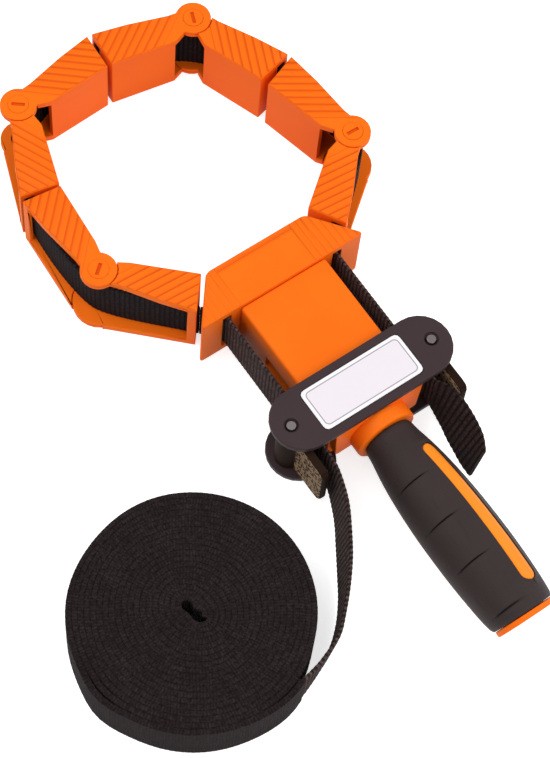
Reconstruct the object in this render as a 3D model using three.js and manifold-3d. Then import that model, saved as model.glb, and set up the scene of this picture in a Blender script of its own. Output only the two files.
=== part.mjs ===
// Band clamp: a webbing strap runs through a ring of hinged corner pieces, a front jaw and two cam levers.
// A handle turns a spindle, whose nut draws the crossbar with the levers back along the body.
// Millimetres, +Z up. The spindle lies along Y, with the handle towards -Y and the ring towards +Y.
import * as THREE from 'three';
import { mergeVertices } from 'three/addons/utils/BufferGeometryUtils.js';
import Module from 'manifold-3d';

const wasm = await Module();
wasm.setup();

// Shared clearances and rounding
const fitGap = 0.3;
const looseGap = 0.4;
const overrun = 2;
const roundSides = 24;
const headSides = 16;
const holeSides = 12;
const arcSteps = 5;
const smallArcSteps = 3;
const degree = Math.PI / 180;

// Webbing strap, standing on its edge
const strapWidth = 25;
const strapThickness = 1.7;
const strapFloor = 4;
const strapTop = strapFloor + strapWidth;
const strapMiddle = (strapFloor + strapTop) / 2;
const strapJoinGap = 0.3;
const strapPassage = 1.2;

// Channel that the strap runs in, shared by the jaw and the arms
const channelFloor = strapFloor - looseGap;
const channelRoof = strapTop + looseGap;
const plateTop = channelRoof + channelFloor;

// Arms of the corner pieces: along u from the hinge pin, across v with the work on its positive side
const armLength = 43.5;
const armMitre = 8 * degree;
const armWallFace = 9;
const armWallThickness = 2.5;
const armWallStart = 12;
const armChamferU = 5.6;
const armChamferV = 5;
const armEdgeOuter = 8.7;
const armEdgeMiddle = 7.6;
const armEdgeWaist = 5.1;
const armMiddleShare = 0.66;
const armWaistShare = 0.23;
const armFootStartShare = 0.1;
const armPostLength = 4;
const armPostThickness = 1.8;
const armEndWall = 2.4;
const strapLine = 4.5;
const strapSlotHalf = 2.3;
const gapHalf = 1.15;
const lugRadius = 8;
const footLugMargin = 0.2;
const lugGap = 0.3;
const topLugShare = 0.5;

// Hinge pins: a slotted head in the outer lug and a shank through both
const pinHeadRadius = 4.2;
const pinHeadHeight = 1;
const pinShankRadius = 2.5;
const pinSlotHalf = 2.9;
const pinSlotWidth = 1.6;
const pinSlotDepth = 0.7;

// Directions of the arms seen from above, in degrees from +X, and three shares: how far inside the pin the
// strap passes, of strapLine; how far the bottom plate reaches outwards beside the pin, of armEdgeOuter; and
// how far in the work face starts beside the knuckle, of armWallFace
const ringPlan = {
  left: [
    { name: 'rear_left', near: -48.1, far: 91.1, strapShare: -0.933, footShare: 1.322, faceShare: 0.711 },
    { name: 'front_left', near: -110.3, far: 5.3, strapShare: 0.8, footShare: 1.023, faceShare: 0.867 },
  ],
  right: [
    { name: 'rear_right', near: -139.8, far: 102, strapShare: -0.844, footShare: 1.218, faceShare: 0.878 },
    { name: 'front_right', near: -68.4, far: 168.9, strapShare: 1.022, footShare: 1.023, faceShare: 0.956 },
  ],
};

// Rounds that find the turn at which the ring closes
const closingRounds = 4;

// Front jaw: a hollow trapezoid whose front wall bears on the work
const jawFrontHalf = 25.3;
const jawRearHalf = 41.8;
const jawRearY = 56.8;
const jawFrontY = 77.8;
const jawWall = 2.5;
const jawCornerRadius = 2.4;
const jawBossHalf = 14;
const jawBossLength = 7.5;
const jawCavityHalf = 20;
const jawGapAlongShare = 0.462;

// Body housing: a box with side slots for the trunnions
const bodyHalf = 21.7;
const crossbarPlate = 3.1;
const bodyFloor = crossbarPlate + fitGap;
const bodyCover = 2.2;
const bodyTop = strapTop + bodyCover;
const bodyWall = 4;
const bodyDeck = 3;
const bodyRearY = -9.2;
const bodyFrontY = jawRearY - fitGap;
const bodyCorner = 1.6;
const tongueHalf = 13;
const tongueTipY = jawFrontY - jawWall - jawBossLength - fitGap;
const axisZ = (bodyFloor + bodyTop) / 2;

// Screws that hold the jaw to the body's tongue
const jawScrewX = 9.5;
const jawScrewRadius = 2;
const jawScrewHeadRadius = 3.6;
const jawScrewHeadHeight = 2.6;
const jawScrewBite = 6;

// Rear collar: a flange behind the body and a round nose for the spindle
const flangeReach = 0.4;
const flangeHalf = bodyHalf + flangeReach;
const flangeTaper = 1.2;
const flangeFloor = 10;
const flangeThickness = 4;
const flangeCorner = 1.6;
const collarRadius = 14.2;
const collarRound = 0.7;
const collarRearY = -20.5;
const flangeFrontY = bodyRearY - fitGap;
const flangeRearY = flangeFrontY - flangeThickness;

// Spindle and its thread
const threadPitch = 4;
const threadSteps = 12;
const threadMinor = 4.6;
const threadMajor = 6.2;
const threadRoot = 0.4;
const threadRootHalf = 1.3;
const threadCrestHalf = 0.6;
const threadGap = 0.35;
const threadStartY = -5.2;
const threadEndY = 46;
const spindleTipY = 49.4;
const spindleTipRadius = 4;
const spindleSeatRadius = 6.6;
const spindleFlangeRadius = 8;
const spindleFlangeY = -6.6;
const spindleNeckRadius = 5;
const hexRadius = 5.2;
const hexEndY = -74;
const washerRadius = 9;
const washerThickness = 1.4;

// Travelling nut with its trunnions
const travel = 32;
const nutSideGap = 0.7;
const nutHalf = bodyHalf - bodyWall - nutSideGap;
const nutDeckGap = 1.4;
const nutHeightHalf = bodyTop - axisZ - bodyDeck - nutDeckGap;
const nutRearY = -5;
const nutFrontY = 9;
const trunnionHalfY = 4.6;
const trunnionHalfZ = 3.2;
const trunnionDrop = 3.5;
const trunnionZ = axisZ - trunnionDrop;
const trunnionSocketX = 9.6;
const slotSlack = 0.6;

// Crossbar: two plates with round ends, joined by posts and lever rivets
const crossbarHalfWidth = 14;
const waistHalfWidth = 8.8;
const waistHalf = 17;
const waistFlare = 4;
const crossbarTop = bodyTop + fitGap + crossbarPlate;
const postRadius = 1.9;
const postX = bodyHalf + fitGap + postRadius;
const trunnionCover = 0.8;
const trunnionEndX = postX + postRadius + trunnionCover;
const postHeadRadius = 3.5;
const postHeadHeight = 1.2;
const postHeadInset = 0.3;
const postTopCover = 1.6;
const rivetRadius = 2;
const rivetHeadRadius = 2.5;
const rivetHeadHeight = 0.7;
const dimpleRadius = 3.1;
const dimpleDepth = 1.1;
const labelHalf = 25;
const labelHalfWidth = 10.1;
const labelCorner = 2.6;
const labelRecess = 0.8;
const labelThickness = 0.6;

// Cam levers between the crossbar's plates
const strapRunGap = 0.55;
const strapRunX = trunnionEndX + strapRunGap + strapThickness / 2;
const camRadius = 6.15;
const camOffsetX = 0.3;
const camOffsetY = -0.4;
const leverX = strapRunX + strapThickness / 2 + looseGap + camRadius + camOffsetX;
const crossbarEnd = 8.3;
const crossbarHalf = leverX + crossbarEnd;
const leverLength = 25.6;
const leverThickness = 3.8;
const leverInward = 0.4;
const leverHeightInset = 0.3;
const leverTabInset = 0.7;
const leverTabCorner = 5;

// Handle
const gripRear = -114.5;
const gripFront = collarRearY - looseGap;
const gripRadius = 16.4;
const gripRadiusShares = [0.701, 0.726, 0.829, 0.915, 0.982, 1, 0.985, 0.939, 0.89];
const gripStationShares = [0, 0.05, 0.15, 0.27, 0.44, 0.62, 0.76, 0.9, 0.975];
const gripEndShare = 0.85;
const gripEndLean = 12 * degree;
const coreRadius = 8.6;
const coreRearY = -112;
const coreBoreDepth = 14;
const coreBoreRadius = 5.6;
const capRadius = 13.4;
const capThickness = 1.9;
const capRound = 0.6;
const capPlugRadius = 5.2;
const capPlugLength = 12;
const inlayCount = 2;
const inlayFirstAngle = 32 * degree;
const inlayStartY = -35.4;
const inlayEndY = -107.1;
const inlayFrontHalf = 3.2;
const inlayRearHalf = 3.8;
const inlayDepth = 1.4;
const inlayProud = 0.25;

// Coil of spare strap, and the stretches of strap that lie free
const coilFromRun = 83.5;
const coilX = -strapRunX - coilFromRun;
const coilY = -41;
const coilLoops = 19;
const coilStepsPerLoop = 24;
const coilOuter = 50.9;
const coilInner = 4.2;
const coilStretch = 2;
const coilFadeLoops = 8;
const coilStretchAngle = 105 * degree;
const coilEndAngle = -68 * degree;
const coilBulge = 1.1;
const coilBulgeLoops = 0.28;
const coilBulgeSpread = 0.1;
// The free stretches' places, across from the strap's run beside the body and along the clamp
const leadRoute = [
  [0, -14.8], [-0.9, -20], [-2.6, -27], [-7.6, -37.2], [-14.1, -46.6], [-20.7, -55.9], [-28, -64.7],
  [-35.2, -73.2], [-44.1, -79.8], [-54.1, -85.1],
];
const leadLeans = [0, 2, 7, 21, 21, 16, 13, 10, 4, 2];
const tailRoute = [
  [0, -14.8], [1.1, -19.6], [1.4, -26.1], [0.7, -32.5], [-0.1, -38.8], [-1.3, -44.8], [-2.9, -50.7],
];
const tailLeans = [0, 9, 15, 18, 18, 16, 8];
const tailSink = 2;

// Materials
const orangePlastic = new THREE.MeshStandardMaterial({ color: 0xf47a20, roughness: 0.45, metalness: 0 });
const blackPlastic = new THREE.MeshStandardMaterial({ color: 0x37322f, roughness: 0.6, metalness: 0 });
const gripRubber = new THREE.MeshStandardMaterial({ color: 0x2f2b2a, roughness: 0.75, metalness: 0 });
const labelWhite = new THREE.MeshStandardMaterial({ color: 0xf2f0f2, roughness: 0.4, metalness: 0 });
const steel = new THREE.MeshStandardMaterial({ color: 0x9a9a98, roughness: 0.35, metalness: 1 });
const webbing = new THREE.MeshStandardMaterial({ color: 0x1d1a1a, roughness: 0.85, metalness: 0 });

// A closed geometry as a solid, with its faces turned outwards
function solidOf(geometry) {
  const bare = geometry.clone();
  bare.deleteAttribute('normal');
  bare.deleteAttribute('uv');
  const merged = mergeVertices(bare);
  const places = merged.attributes.position.array;
  const triangles = [];
  let volume = 0;
  for (let i = 0; i < merged.index.count; i += 3) {
    const [a, b, c] = [0, 1, 2].map((k) => merged.index.getX(i + k));
    if (a === b || b === c || c === a) continue;
    triangles.push([a, b, c]);
    const [p, q, r] = [a, b, c].map((k) => new THREE.Vector3().fromArray(places, 3 * k));
    volume += p.dot(q.cross(r));
  }
  const outward = volume > 0 ? triangles : triangles.map(([a, b, c]) => [a, c, b]);
  const mesh = new wasm.Mesh({
    numProp: 3,
    vertProperties: Float32Array.from(places),
    triVerts: Uint32Array.from(outward.flat()),
  });
  return new wasm.Manifold(mesh);
}

function geometryOf(solid) {
  const mesh = solid.getMesh();
  const geometry = new THREE.BufferGeometry();
  geometry.setAttribute('position', new THREE.BufferAttribute(Float32Array.from(mesh.vertProperties), 3));
  geometry.setIndex(Array.from(mesh.triVerts));
  geometry.computeVertexNormals();
  return geometry;
}

const joined = (solids) => solids.reduce((whole, next) => whole.add(next));
const cutBy = (solid, cuts) => cuts.reduce((left, cut) => left.subtract(cut), solid);

// An outline of [x, y] points, raised from one height to another
function slab(outline, bottom, top) {
  const shape = new THREE.Shape(outline.map(([x, y]) => new THREE.Vector2(x, y)));
  const geometry = new THREE.ExtrudeGeometry(shape, { depth: top - bottom, bevelEnabled: false });
  return solidOf(geometry.translate(0, 0, bottom));
}

const rectangle = (x0, x1, y0, y1) => [[x0, y0], [x1, y0], [x1, y1], [x0, y1]];
const block = (x0, x1, y0, y1, z0, z1) => slab(rectangle(x0, x1, y0, y1), z0, z1);

function circle(radius, x = 0, y = 0, sides = roundSides) {
  return Array.from({ length: sides }, (_, i) => {
    const angle = (i / sides) * 2 * Math.PI;
    return [x + radius * Math.cos(angle), y + radius * Math.sin(angle)];
  });
}

// An upright round rod
function rod(radius, bottom, top, sides = roundSides, x = 0, y = 0) {
  return slab(circle(radius, x, y, sides), bottom, top);
}

// The outline with each corner rounded, by less where a side is too short for the radius
function rounded(outline, radius, steps = arcSteps) {
  const points = outline.map(([x, y]) => new THREE.Vector2(x, y));
  const count = points.length;
  return points.flatMap((corner, i) => {
    const before = points[(i + count - 1) % count].clone().sub(corner);
    const after = points[(i + 1) % count].clone().sub(corner);
    const reach = Math.min(radius, before.length() / 2, after.length() / 2);
    const start = corner.clone().add(before.setLength(reach));
    const end = corner.clone().add(after.setLength(reach));
    const bend = new THREE.QuadraticBezierCurve(start, corner, end);
    return bend.getPoints(steps).map((p) => [p.x, p.y]);
  });
}

// A profile of [radius, y] points turned about the spindle's axis
function turned(profile, sides = roundSides) {
  const points = profile.map(([r, y]) => new THREE.Vector2(r, y));
  return solidOf(new THREE.LatheGeometry(points, sides).translate(0, 0, axisZ));
}

// A block whose outline lies in the X-Z plane and which runs along Y
function lengthwise(outline, y0, y1) {
  const shape = new THREE.Shape(outline.map(([x, z]) => new THREE.Vector2(x, z)));
  const geometry = new THREE.ExtrudeGeometry(shape, { depth: y1 - y0, bevelEnabled: false });
  return solidOf(geometry.rotateX(Math.PI / 2).translate(0, y1, 0));
}

// A block whose outline of [y, z] points runs along X
function crosswise(outline, x0, x1) {
  const shape = new THREE.Shape(outline.map(([y, z]) => new THREE.Vector2(y, z)));
  const geometry = new THREE.ExtrudeGeometry(shape, { depth: x1 - x0, bevelEnabled: false });
  return solidOf(geometry.rotateX(Math.PI / 2).rotateZ(Math.PI / 2).translate(x0, 0, 0));
}

// A level round rod that runs along Y at the spindle's height
function levelRod(radius, x, y0, y1, sides = holeSides) {
  return lengthwise(circle(radius, x, axisZ, sides), y0, y1);
}

const clampRing = new THREE.Group();

function addPiece(name, solid, material, x = 0, y = 0, turn = 0) {
  const mesh = new THREE.Mesh(geometryOf(solid), material);
  mesh.name = name;
  mesh.position.set(x, y, 0);
  mesh.rotation.z = turn;
  clampRing.add(mesh);
  return mesh;
}

// A ribbon of strap along stations of { x, y, z, lean }: z is the middle's height, and lean tips the top left
function ribbon(stations) {
  const positions = [];
  const count = stations.length;
  stations.forEach((s, i) => {
    const back = stations[Math.max(i - 1, 0)];
    const next = stations[Math.min(i + 1, count - 1)];
    const along = new THREE.Vector3(next.x - back.x, next.y - back.y, 0).normalize();
    const left = new THREE.Vector3(-along.y, along.x, 0);
    const up = new THREE.Vector3(0, 0, Math.cos(s.lean)).addScaledVector(left, Math.sin(s.lean));
    const side = new THREE.Vector3().crossVectors(up, along);
    for (const [a, b] of [[-1, -1], [1, -1], [1, 1], [-1, 1]]) {
      const p = new THREE.Vector3(s.x, s.y, s.z);
      p.addScaledVector(side, (a * strapThickness) / 2).addScaledVector(up, (b * strapWidth) / 2);
      positions.push(p.x, p.y, p.z);
    }
  });
  const index = [0, 2, 1, 0, 3, 2];
  for (let i = 0; i < count - 1; i += 1) {
    for (let k = 0; k < 4; k += 1) {
      const a = 4 * i + k;
      const b = 4 * i + ((k + 1) % 4);
      index.push(a, b, b + 4, a, b + 4, a + 4);
    }
  }
  const last = 4 * (count - 1);
  index.push(last, last + 1, last + 2, last, last + 2, last + 3);
  const geometry = new THREE.BufferGeometry();
  geometry.setAttribute('position', new THREE.Float32BufferAttribute(positions, 3));
  geometry.setIndex(index);
  return solidOf(geometry);
}

// A level, upright stretch of strap along a flat curve
function uprightStrap(curve, steps) {
  return ribbon(curve.getPoints(steps).map((p) => ({ x: p.x, y: p.y, z: strapMiddle, lean: 0 })));
}

// The outline that a flat curve sweeps when it is widened to both sides
function widened(curve, half, steps) {
  const points = curve.getPoints(steps);
  const sideways = (i, sign) => {
    const along = curve.getTangent(i / steps);
    return [points[i].x - sign * half * along.y, points[i].y + sign * half * along.x];
  };
  const forth = points.map((_, i) => sideways(i, 1));
  const back = points.map((_, i) => sideways(i, -1)).reverse();
  return [...forth, ...back];
}

const heading = (degrees) => new THREE.Vector2(Math.cos(degrees * degree), Math.sin(degrees * degree));

// Ring layout: the strap crosses each gap on the line of the arms' strap slots
const strapReach = armLength + strapLine * Math.tan(armMitre) + gapHalf;
const jawEnd = new THREE.Vector2(jawFrontHalf - jawRearHalf, jawFrontY - jawRearY).normalize();

function jawGapPoint(side) {
  const run = Math.hypot(jawRearHalf - jawFrontHalf, jawFrontY - jawRearY) * jawGapAlongShare;
  const x = jawRearHalf + jawEnd.x * run + jawEnd.y * gapHalf;
  return new THREE.Vector2(-side * x, jawRearY + jawEnd.y * run - jawEnd.x * gapHalf);
}

function armPlace(direction, work) {
  const along = heading(direction);
  const across = new THREE.Vector2(-along.y, along.x).multiplyScalar(work);
  return along.multiplyScalar(strapReach).addScaledVector(across, -strapLine);
}

// Walks one side of the ring from the jaw: side is 1 on the left and -1 on the right, and turn swings that
// side outwards about its jaw end, in degrees
function layOut(corners, side, turn) {
  let gap = jawGapPoint(side);
  return corners.map((corner) => {
    const near = corner.near + side * turn;
    const far = corner.far + side * turn;
    const pin = gap.clone().sub(armPlace(near, side));
    const nextGap = pin.clone().add(armPlace(far, -side));
    const placed = { ...corner, near, far, side, pin, nearGap: gap, farGap: nextGap };
    gap = nextGap;
    return placed;
  });
}

// Both sides turn alike until their front ends meet
function frontMiss(turn) {
  const left = layOut(ringPlan.left, 1, turn).at(-1).farGap;
  const right = layOut(ringPlan.right, -1, turn).at(-1).farGap;
  return right.x - left.x;
}

let ringTurn = 0;
for (let i = 0; i < closingRounds; i += 1) {
  ringTurn -= frontMiss(ringTurn) / (frontMiss(ringTurn + 1) - frontMiss(ringTurn));
}
const leftCorners = layOut(ringPlan.left, 1, ringTurn);
const rightCorners = layOut(ringPlan.right, -1, ringTurn);
const corners = [...leftCorners, ...rightCorners];

// How far along u the mitred end lies at a place across v
const armEndAt = (v) => armLength - v * Math.tan(armMitre);

function armOutline(work, faceStart, outerEdge) {
  const inner = [
    [armChamferU, armChamferV],
    [armWallStart, faceStart],
    [armEndAt(armWallFace), armWallFace],
  ];
  return [[0, 0], ...inner, ...outerEdge.reverse()].map(([u, v]) => [u, v * work]);
}

// One arm: plates above and below the strap, a wall on the work side, an end wall and a lug for the hinge pin
function arm(work, outerLug, { footShare, faceShare }) {
  const footOuter = armEdgeOuter * footShare;
  const faceStart = armWallFace * faceShare;
  const topOutline = armOutline(work, faceStart, [
    [armLength * armFootStartShare, -armEdgeWaist],
    [armLength * armWaistShare, -armEdgeWaist],
    [armLength * armMiddleShare, -armEdgeMiddle],
    [armEndAt(-armEdgeOuter), -armEdgeOuter],
  ]);
  const footOutline = armOutline(work, faceStart, [
    [armLength * armFootStartShare, -footOuter * Math.cos(armMitre)],
    [armEndAt(-armEdgeOuter), -armEdgeOuter],
  ]);
  const wallEnd = armLength - armEndWall;
  const wall = slab(
    [
      [armWallStart, faceStart * work],
      [armWallStart, (faceStart - armWallThickness) * work],
      [wallEnd, (armWallFace - armWallThickness) * work],
      [armEndAt(armWallFace), armWallFace * work],
    ],
    channelFloor / 2, (channelRoof + plateTop) / 2,
  );
  const endFrom = (v) => armEndAt(v) - armEndWall;
  const slotInner = strapLine - strapSlotHalf;
  const endWall = slab(
    [
      [armEndAt(armWallFace), armWallFace * work],
      [endFrom(armWallFace), (armWallFace - armWallThickness / 2) * work],
      [endFrom(-slotInner), -slotInner * work],
      [armEndAt(-slotInner), -slotInner * work],
    ],
    channelFloor / 2, (channelRoof + plateTop) / 2,
  );
  const postFrom = (v) => armEndAt(v) - armPostLength;
  const postInner = armEdgeOuter - armPostThickness;
  const post = slab(
    [
      [armEndAt(-postInner), -postInner * work],
      [postFrom(-postInner), -postInner * work],
      [postFrom(-armEdgeOuter), -armEdgeOuter * work],
      [armEndAt(-armEdgeOuter), -armEdgeOuter * work],
    ],
    channelFloor / 2, (channelRoof + plateTop) / 2,
  );
  const roof = slab(topOutline, channelRoof, plateTop).add(rod(lugRadius, channelRoof, plateTop));
  const foot = slab(footOutline, 0, channelFloor).add(rod(footOuter + footLugMargin, 0, channelFloor));
  const whole = joined([roof, foot, wall, endWall, post]);
  // The partner's lugs take the other half of each plate's thickness round the pin
  const roofSplit = channelRoof + (plateTop - channelRoof) * topLugShare;
  const footSplit = channelFloor * (1 - topLugShare);
  const halfGap = lugGap / 2;
  const roofCut = outerLug
    ? [channelRoof - overrun, roofSplit + halfGap]
    : [roofSplit - halfGap, plateTop + overrun];
  const footCut = outerLug ? [footSplit - halfGap, channelFloor + overrun] : [-overrun, footSplit + halfGap];
  const cuts = [
    rod(lugRadius + looseGap, ...roofCut),
    rod(footOuter + footLugMargin + looseGap, ...footCut),
    rod(pinShankRadius + fitGap, -overrun, plateTop + overrun, holeSides),
  ];
  if (outerLug) {
    const seatDepth = pinHeadHeight + fitGap;
    cuts.push(rod(pinHeadRadius + fitGap, plateTop - seatDepth, plateTop + overrun, headSides));
    cuts.push(rod(pinHeadRadius + fitGap, -overrun, seatDepth, headSides));
  }
  return cutBy(whole, cuts);
}

// A short hinge pin: up is 1 for the one in the top lugs and -1 for the one in the bottom lugs
function hingePin(up) {
  const outer = up > 0 ? plateTop : 0;
  const inner = up > 0 ? channelRoof : channelFloor;
  const between = (a, b) => [Math.min(a, b), Math.max(a, b)];
  const neck = outer - up * pinHeadHeight;
  const head = rod(pinHeadRadius, ...between(outer, neck), headSides);
  const shank = rod(pinShankRadius, ...between(neck + (up * pinHeadHeight) / 2, inner), holeSides);
  const slotFloor = outer - up * pinSlotDepth;
  const slot = slab(
    rectangle(-pinSlotHalf, pinSlotHalf, -pinSlotWidth / 2, pinSlotWidth / 2),
    ...between(outer + up * overrun, slotFloor),
  );
  return head.add(shank).subtract(slot);
}

// The strap inside one arm, from between the two arms to the middle of the gap, in the arm's own axes
function strapCurve(corner, direction, otherDirection, work, gapHeading) {
  const toWork = heading(direction).add(heading(otherDirection)).normalize();
  const middle = corner.pin.clone().addScaledVector(toWork, strapLine * corner.strapShare);
  const along = heading(direction);
  const leave = new THREE.Vector2(-toWork.y, toWork.x);
  if (leave.dot(along) < 0) leave.negate();
  const arrive = heading(gapHeading);
  const gap = corner.pin.clone().add(armPlace(direction, work));
  const start = middle.clone().addScaledVector(leave, strapJoinGap / 2);
  const end = gap.clone().addScaledVector(arrive, -strapJoinGap / 2);
  const pullStart = strapLine * 2;
  const pullEnd = armLength / 3;
  const local = (p) => p.clone().sub(corner.pin).rotateAround(new THREE.Vector2(), -direction * degree);
  return new THREE.CubicBezierCurve(
    local(start),
    local(start.clone().addScaledVector(leave, pullStart)),
    local(end.clone().addScaledVector(arrive, -pullEnd)),
    local(end),
  );
}

const strapSteps = 10;
const middleHeading = (a, b) => {
  const mean = heading(a).add(heading(b));
  return Math.atan2(mean.y, mean.x) / degree;
};

// At the front the two sides of the ring meet head on
const frontHeading = middleHeading(leftCorners.at(-1).far, rightCorners.at(-1).far + 180);

function addCorners(chain, side) {
  chain.forEach((corner, i) => {
    const turnNear = corner.near * degree;
    const turnFar = corner.far * degree;
    const { x, y } = corner.pin;
    addPiece(`${corner.name}_near_arm`, arm(side, false, corner), orangePlastic, x, y, turnNear);
    addPiece(`${corner.name}_far_arm`, arm(-side, true, corner), orangePlastic, x, y, turnFar);
    addPiece(`${corner.name}_top_pin`, hingePin(1), orangePlastic, x, y, turnFar);
    addPiece(`${corner.name}_bottom_pin`, hingePin(-1), orangePlastic, x, y, turnFar);
    const before = i === 0 ? null : chain[i - 1];
    const after = chain[i + 1];
    const nearHeading = before ? middleHeading(corner.near, before.far + 180) : corner.near;
    const meeting = frontHeading + (side < 0 ? 180 : 0);
    const farHeading = after ? middleHeading(corner.far, after.near + 180) : meeting;
    const near = strapCurve(corner, corner.near, corner.far, side, nearHeading);
    const far = strapCurve(corner, corner.far, corner.near, -side, farHeading);
    addPiece(`strap_${corner.name}_near`, uprightStrap(near, strapSteps), webbing, x, y, turnNear);
    addPiece(`strap_${corner.name}_far`, uprightStrap(far, strapSteps), webbing, x, y, turnFar);
  });
}

addCorners(leftCorners, 1);
addCorners(rightCorners, -1);

// The strap's way through the jaw: up the side of the body, then out through the end wall to the ring
function jawStrapCurve(side, startY, past) {
  const gap = jawGapPoint(side);
  const out = heading((side > 0 ? leftCorners : rightCorners)[0].near + 180);
  const end = gap.clone().addScaledVector(out, past);
  const start = new THREE.Vector2(-side * strapRunX, startY);
  const reach = start.distanceTo(end) / 3;
  return new THREE.CubicBezierCurve(
    start,
    start.clone().add(new THREE.Vector2(0, reach)),
    end.clone().addScaledVector(out, -reach),
    end,
  );
}

function frontJaw() {
  const outline = rounded([
    [-jawRearHalf, jawRearY], [jawRearHalf, jawRearY], [jawFrontHalf, jawFrontY], [-jawFrontHalf, jawFrontY],
  ], jawCornerRadius);
  const shell = slab(outline, 0, plateTop);
  const cavity = block(
    -jawCavityHalf, jawCavityHalf, jawRearY - overrun, jawFrontY - jawWall, channelFloor, channelRoof,
  );
  const boss = block(
    -jawBossHalf, jawBossHalf, jawFrontY - jawWall - jawBossLength, jawFrontY - jawWall / 2,
    channelFloor / 2, (channelRoof + plateTop) / 2,
  );
  const ways = [1, -1].map((side) => {
    const curve = jawStrapCurve(side, jawRearY - overrun, overrun);
    return slab(widened(curve, strapThickness / 2 + strapPassage, strapSteps), channelFloor, channelRoof);
  });
  const biteEnd = tongueTipY + jawScrewBite + 2 * fitGap;
  const bites = [1, -1].map((side) => (
    levelRod(jawScrewRadius + fitGap, side * jawScrewX, tongueTipY - overrun, biteEnd)
  ));
  return cutBy(cutBy(shell, [cavity, ...ways]).add(boss), bites);
}

function bodyHousing() {
  const section = rounded(
    [[-bodyHalf, bodyFloor], [bodyHalf, bodyFloor], [bodyHalf, bodyTop], [-bodyHalf, bodyTop]],
    bodyCorner, smallArcSteps,
  );
  const shell = lengthwise(section, bodyRearY, bodyFrontY);
  const cavity = block(
    -bodyHalf + bodyWall, bodyHalf - bodyWall, bodyRearY - overrun, bodyFrontY - bodyWall,
    bodyFloor + bodyDeck, bodyTop - bodyDeck,
  );
  const tongue = block(
    -tongueHalf, tongueHalf, bodyFrontY - bodyWall / 2, tongueTipY,
    channelFloor + looseGap, channelRoof - looseGap,
  );
  const slots = block(
    -bodyHalf - overrun, bodyHalf + overrun,
    -trunnionHalfY - slotSlack, travel + trunnionHalfY + slotSlack,
    trunnionZ - trunnionHalfZ - slotSlack, trunnionZ + trunnionHalfZ + slotSlack,
  );
  const seat = levelRod(spindleSeatRadius, 0, threadEndY + fitGap, bodyFrontY - bodyWall / 2, roundSides);
  const seatEndY = spindleTipY + fitGap;
  const seatBore = levelRod(spindleTipRadius + fitGap, 0, threadEndY - overrun, seatEndY, headSides);
  const innerFaceY = bodyFrontY - bodyWall;
  const screwWays = [1, -1].map((side) => (
    levelRod(jawScrewRadius + fitGap, side * jawScrewX, innerFaceY - overrun, tongueTipY + overrun)
  ));
  const screwSeats = [1, -1].map((side) => (
    levelRod(jawScrewHeadRadius + fitGap, side * jawScrewX, threadEndY - overrun, innerFaceY)
  ));
  const solid = joined([shell.subtract(cavity), tongue, seat]);
  return cutBy(solid, [slots, seatBore, ...screwWays, ...screwSeats]);
}

function jawScrew(side) {
  const x = side * jawScrewX;
  const headEnd = bodyFrontY - bodyWall - fitGap;
  const head = levelRod(jawScrewHeadRadius, x, headEnd - jawScrewHeadHeight, headEnd);
  const shank = levelRod(jawScrewRadius, x, headEnd - jawScrewHeadHeight / 2, tongueTipY + jawScrewBite);
  return head.add(shank);
}

function rearCollar() {
  const flange = lengthwise(
    rounded(
      [
        [flangeTaper - flangeHalf, flangeFloor], [flangeHalf - flangeTaper, flangeFloor],
        [flangeHalf, bodyTop], [-flangeHalf, bodyTop],
      ],
      flangeCorner, smallArcSteps,
    ),
    flangeRearY, flangeFrontY,
  );
  // Beside the flange the nose stays below the body's top
  const neckRadius = axisZ - bodyFloor;
  const nose = turned([
    [0, flangeFrontY],
    [neckRadius, flangeFrontY],
    [neckRadius, flangeRearY],
    [collarRadius, flangeRearY - collarRound],
    [collarRadius, collarRearY + collarRound],
    [collarRadius - collarRound, collarRearY],
    [0, collarRearY],
  ]);
  const bore = turned([
    [0, flangeFrontY + overrun],
    [spindleNeckRadius + fitGap, flangeFrontY + overrun],
    [spindleNeckRadius + fitGap, collarRearY + washerThickness + 2 * fitGap],
    [washerRadius + fitGap, collarRearY + washerThickness + 2 * fitGap],
    [washerRadius + fitGap, collarRearY - overrun],
    [0, collarRearY - overrun],
  ]);
  return flange.add(nose).subtract(bore);
}

// The helical ridge of the thread, widened on all its faces by extra
function threadRidge(fromY, toY, extra) {
  const turns = (toY - fromY) / threadPitch;
  const count = Math.ceil(turns * threadSteps);
  const inner = threadMinor - threadRoot;
  const outer = threadMajor + extra;
  const rootHalf = threadRootHalf + extra;
  const crestHalf = threadCrestHalf + extra;
  const section = [[inner, -rootHalf], [outer, -crestHalf], [outer, crestHalf], [inner, rootHalf]];
  const positions = [];
  for (let i = 0; i <= count; i += 1) {
    const angle = (i / threadSteps) * 2 * Math.PI;
    const y = fromY + (i / threadSteps) * threadPitch;
    for (const [radius, offset] of section) {
      positions.push(radius * Math.sin(angle), y + offset, axisZ + radius * Math.cos(angle));
    }
  }
  const index = [0, 1, 2, 0, 2, 3];
  for (let i = 0; i < count; i += 1) {
    for (let k = 0; k < 4; k += 1) {
      const a = 4 * i + k;
      const b = 4 * i + ((k + 1) % 4);
      index.push(a, b + 4, b, a, a + 4, b + 4);
    }
  }
  const last = 4 * count;
  index.push(last, last + 2, last + 1, last, last + 3, last + 2);
  const geometry = new THREE.BufferGeometry();
  geometry.setAttribute('position', new THREE.Float32BufferAttribute(positions, 3));
  geometry.setIndex(index);
  return solidOf(geometry);
}

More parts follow.
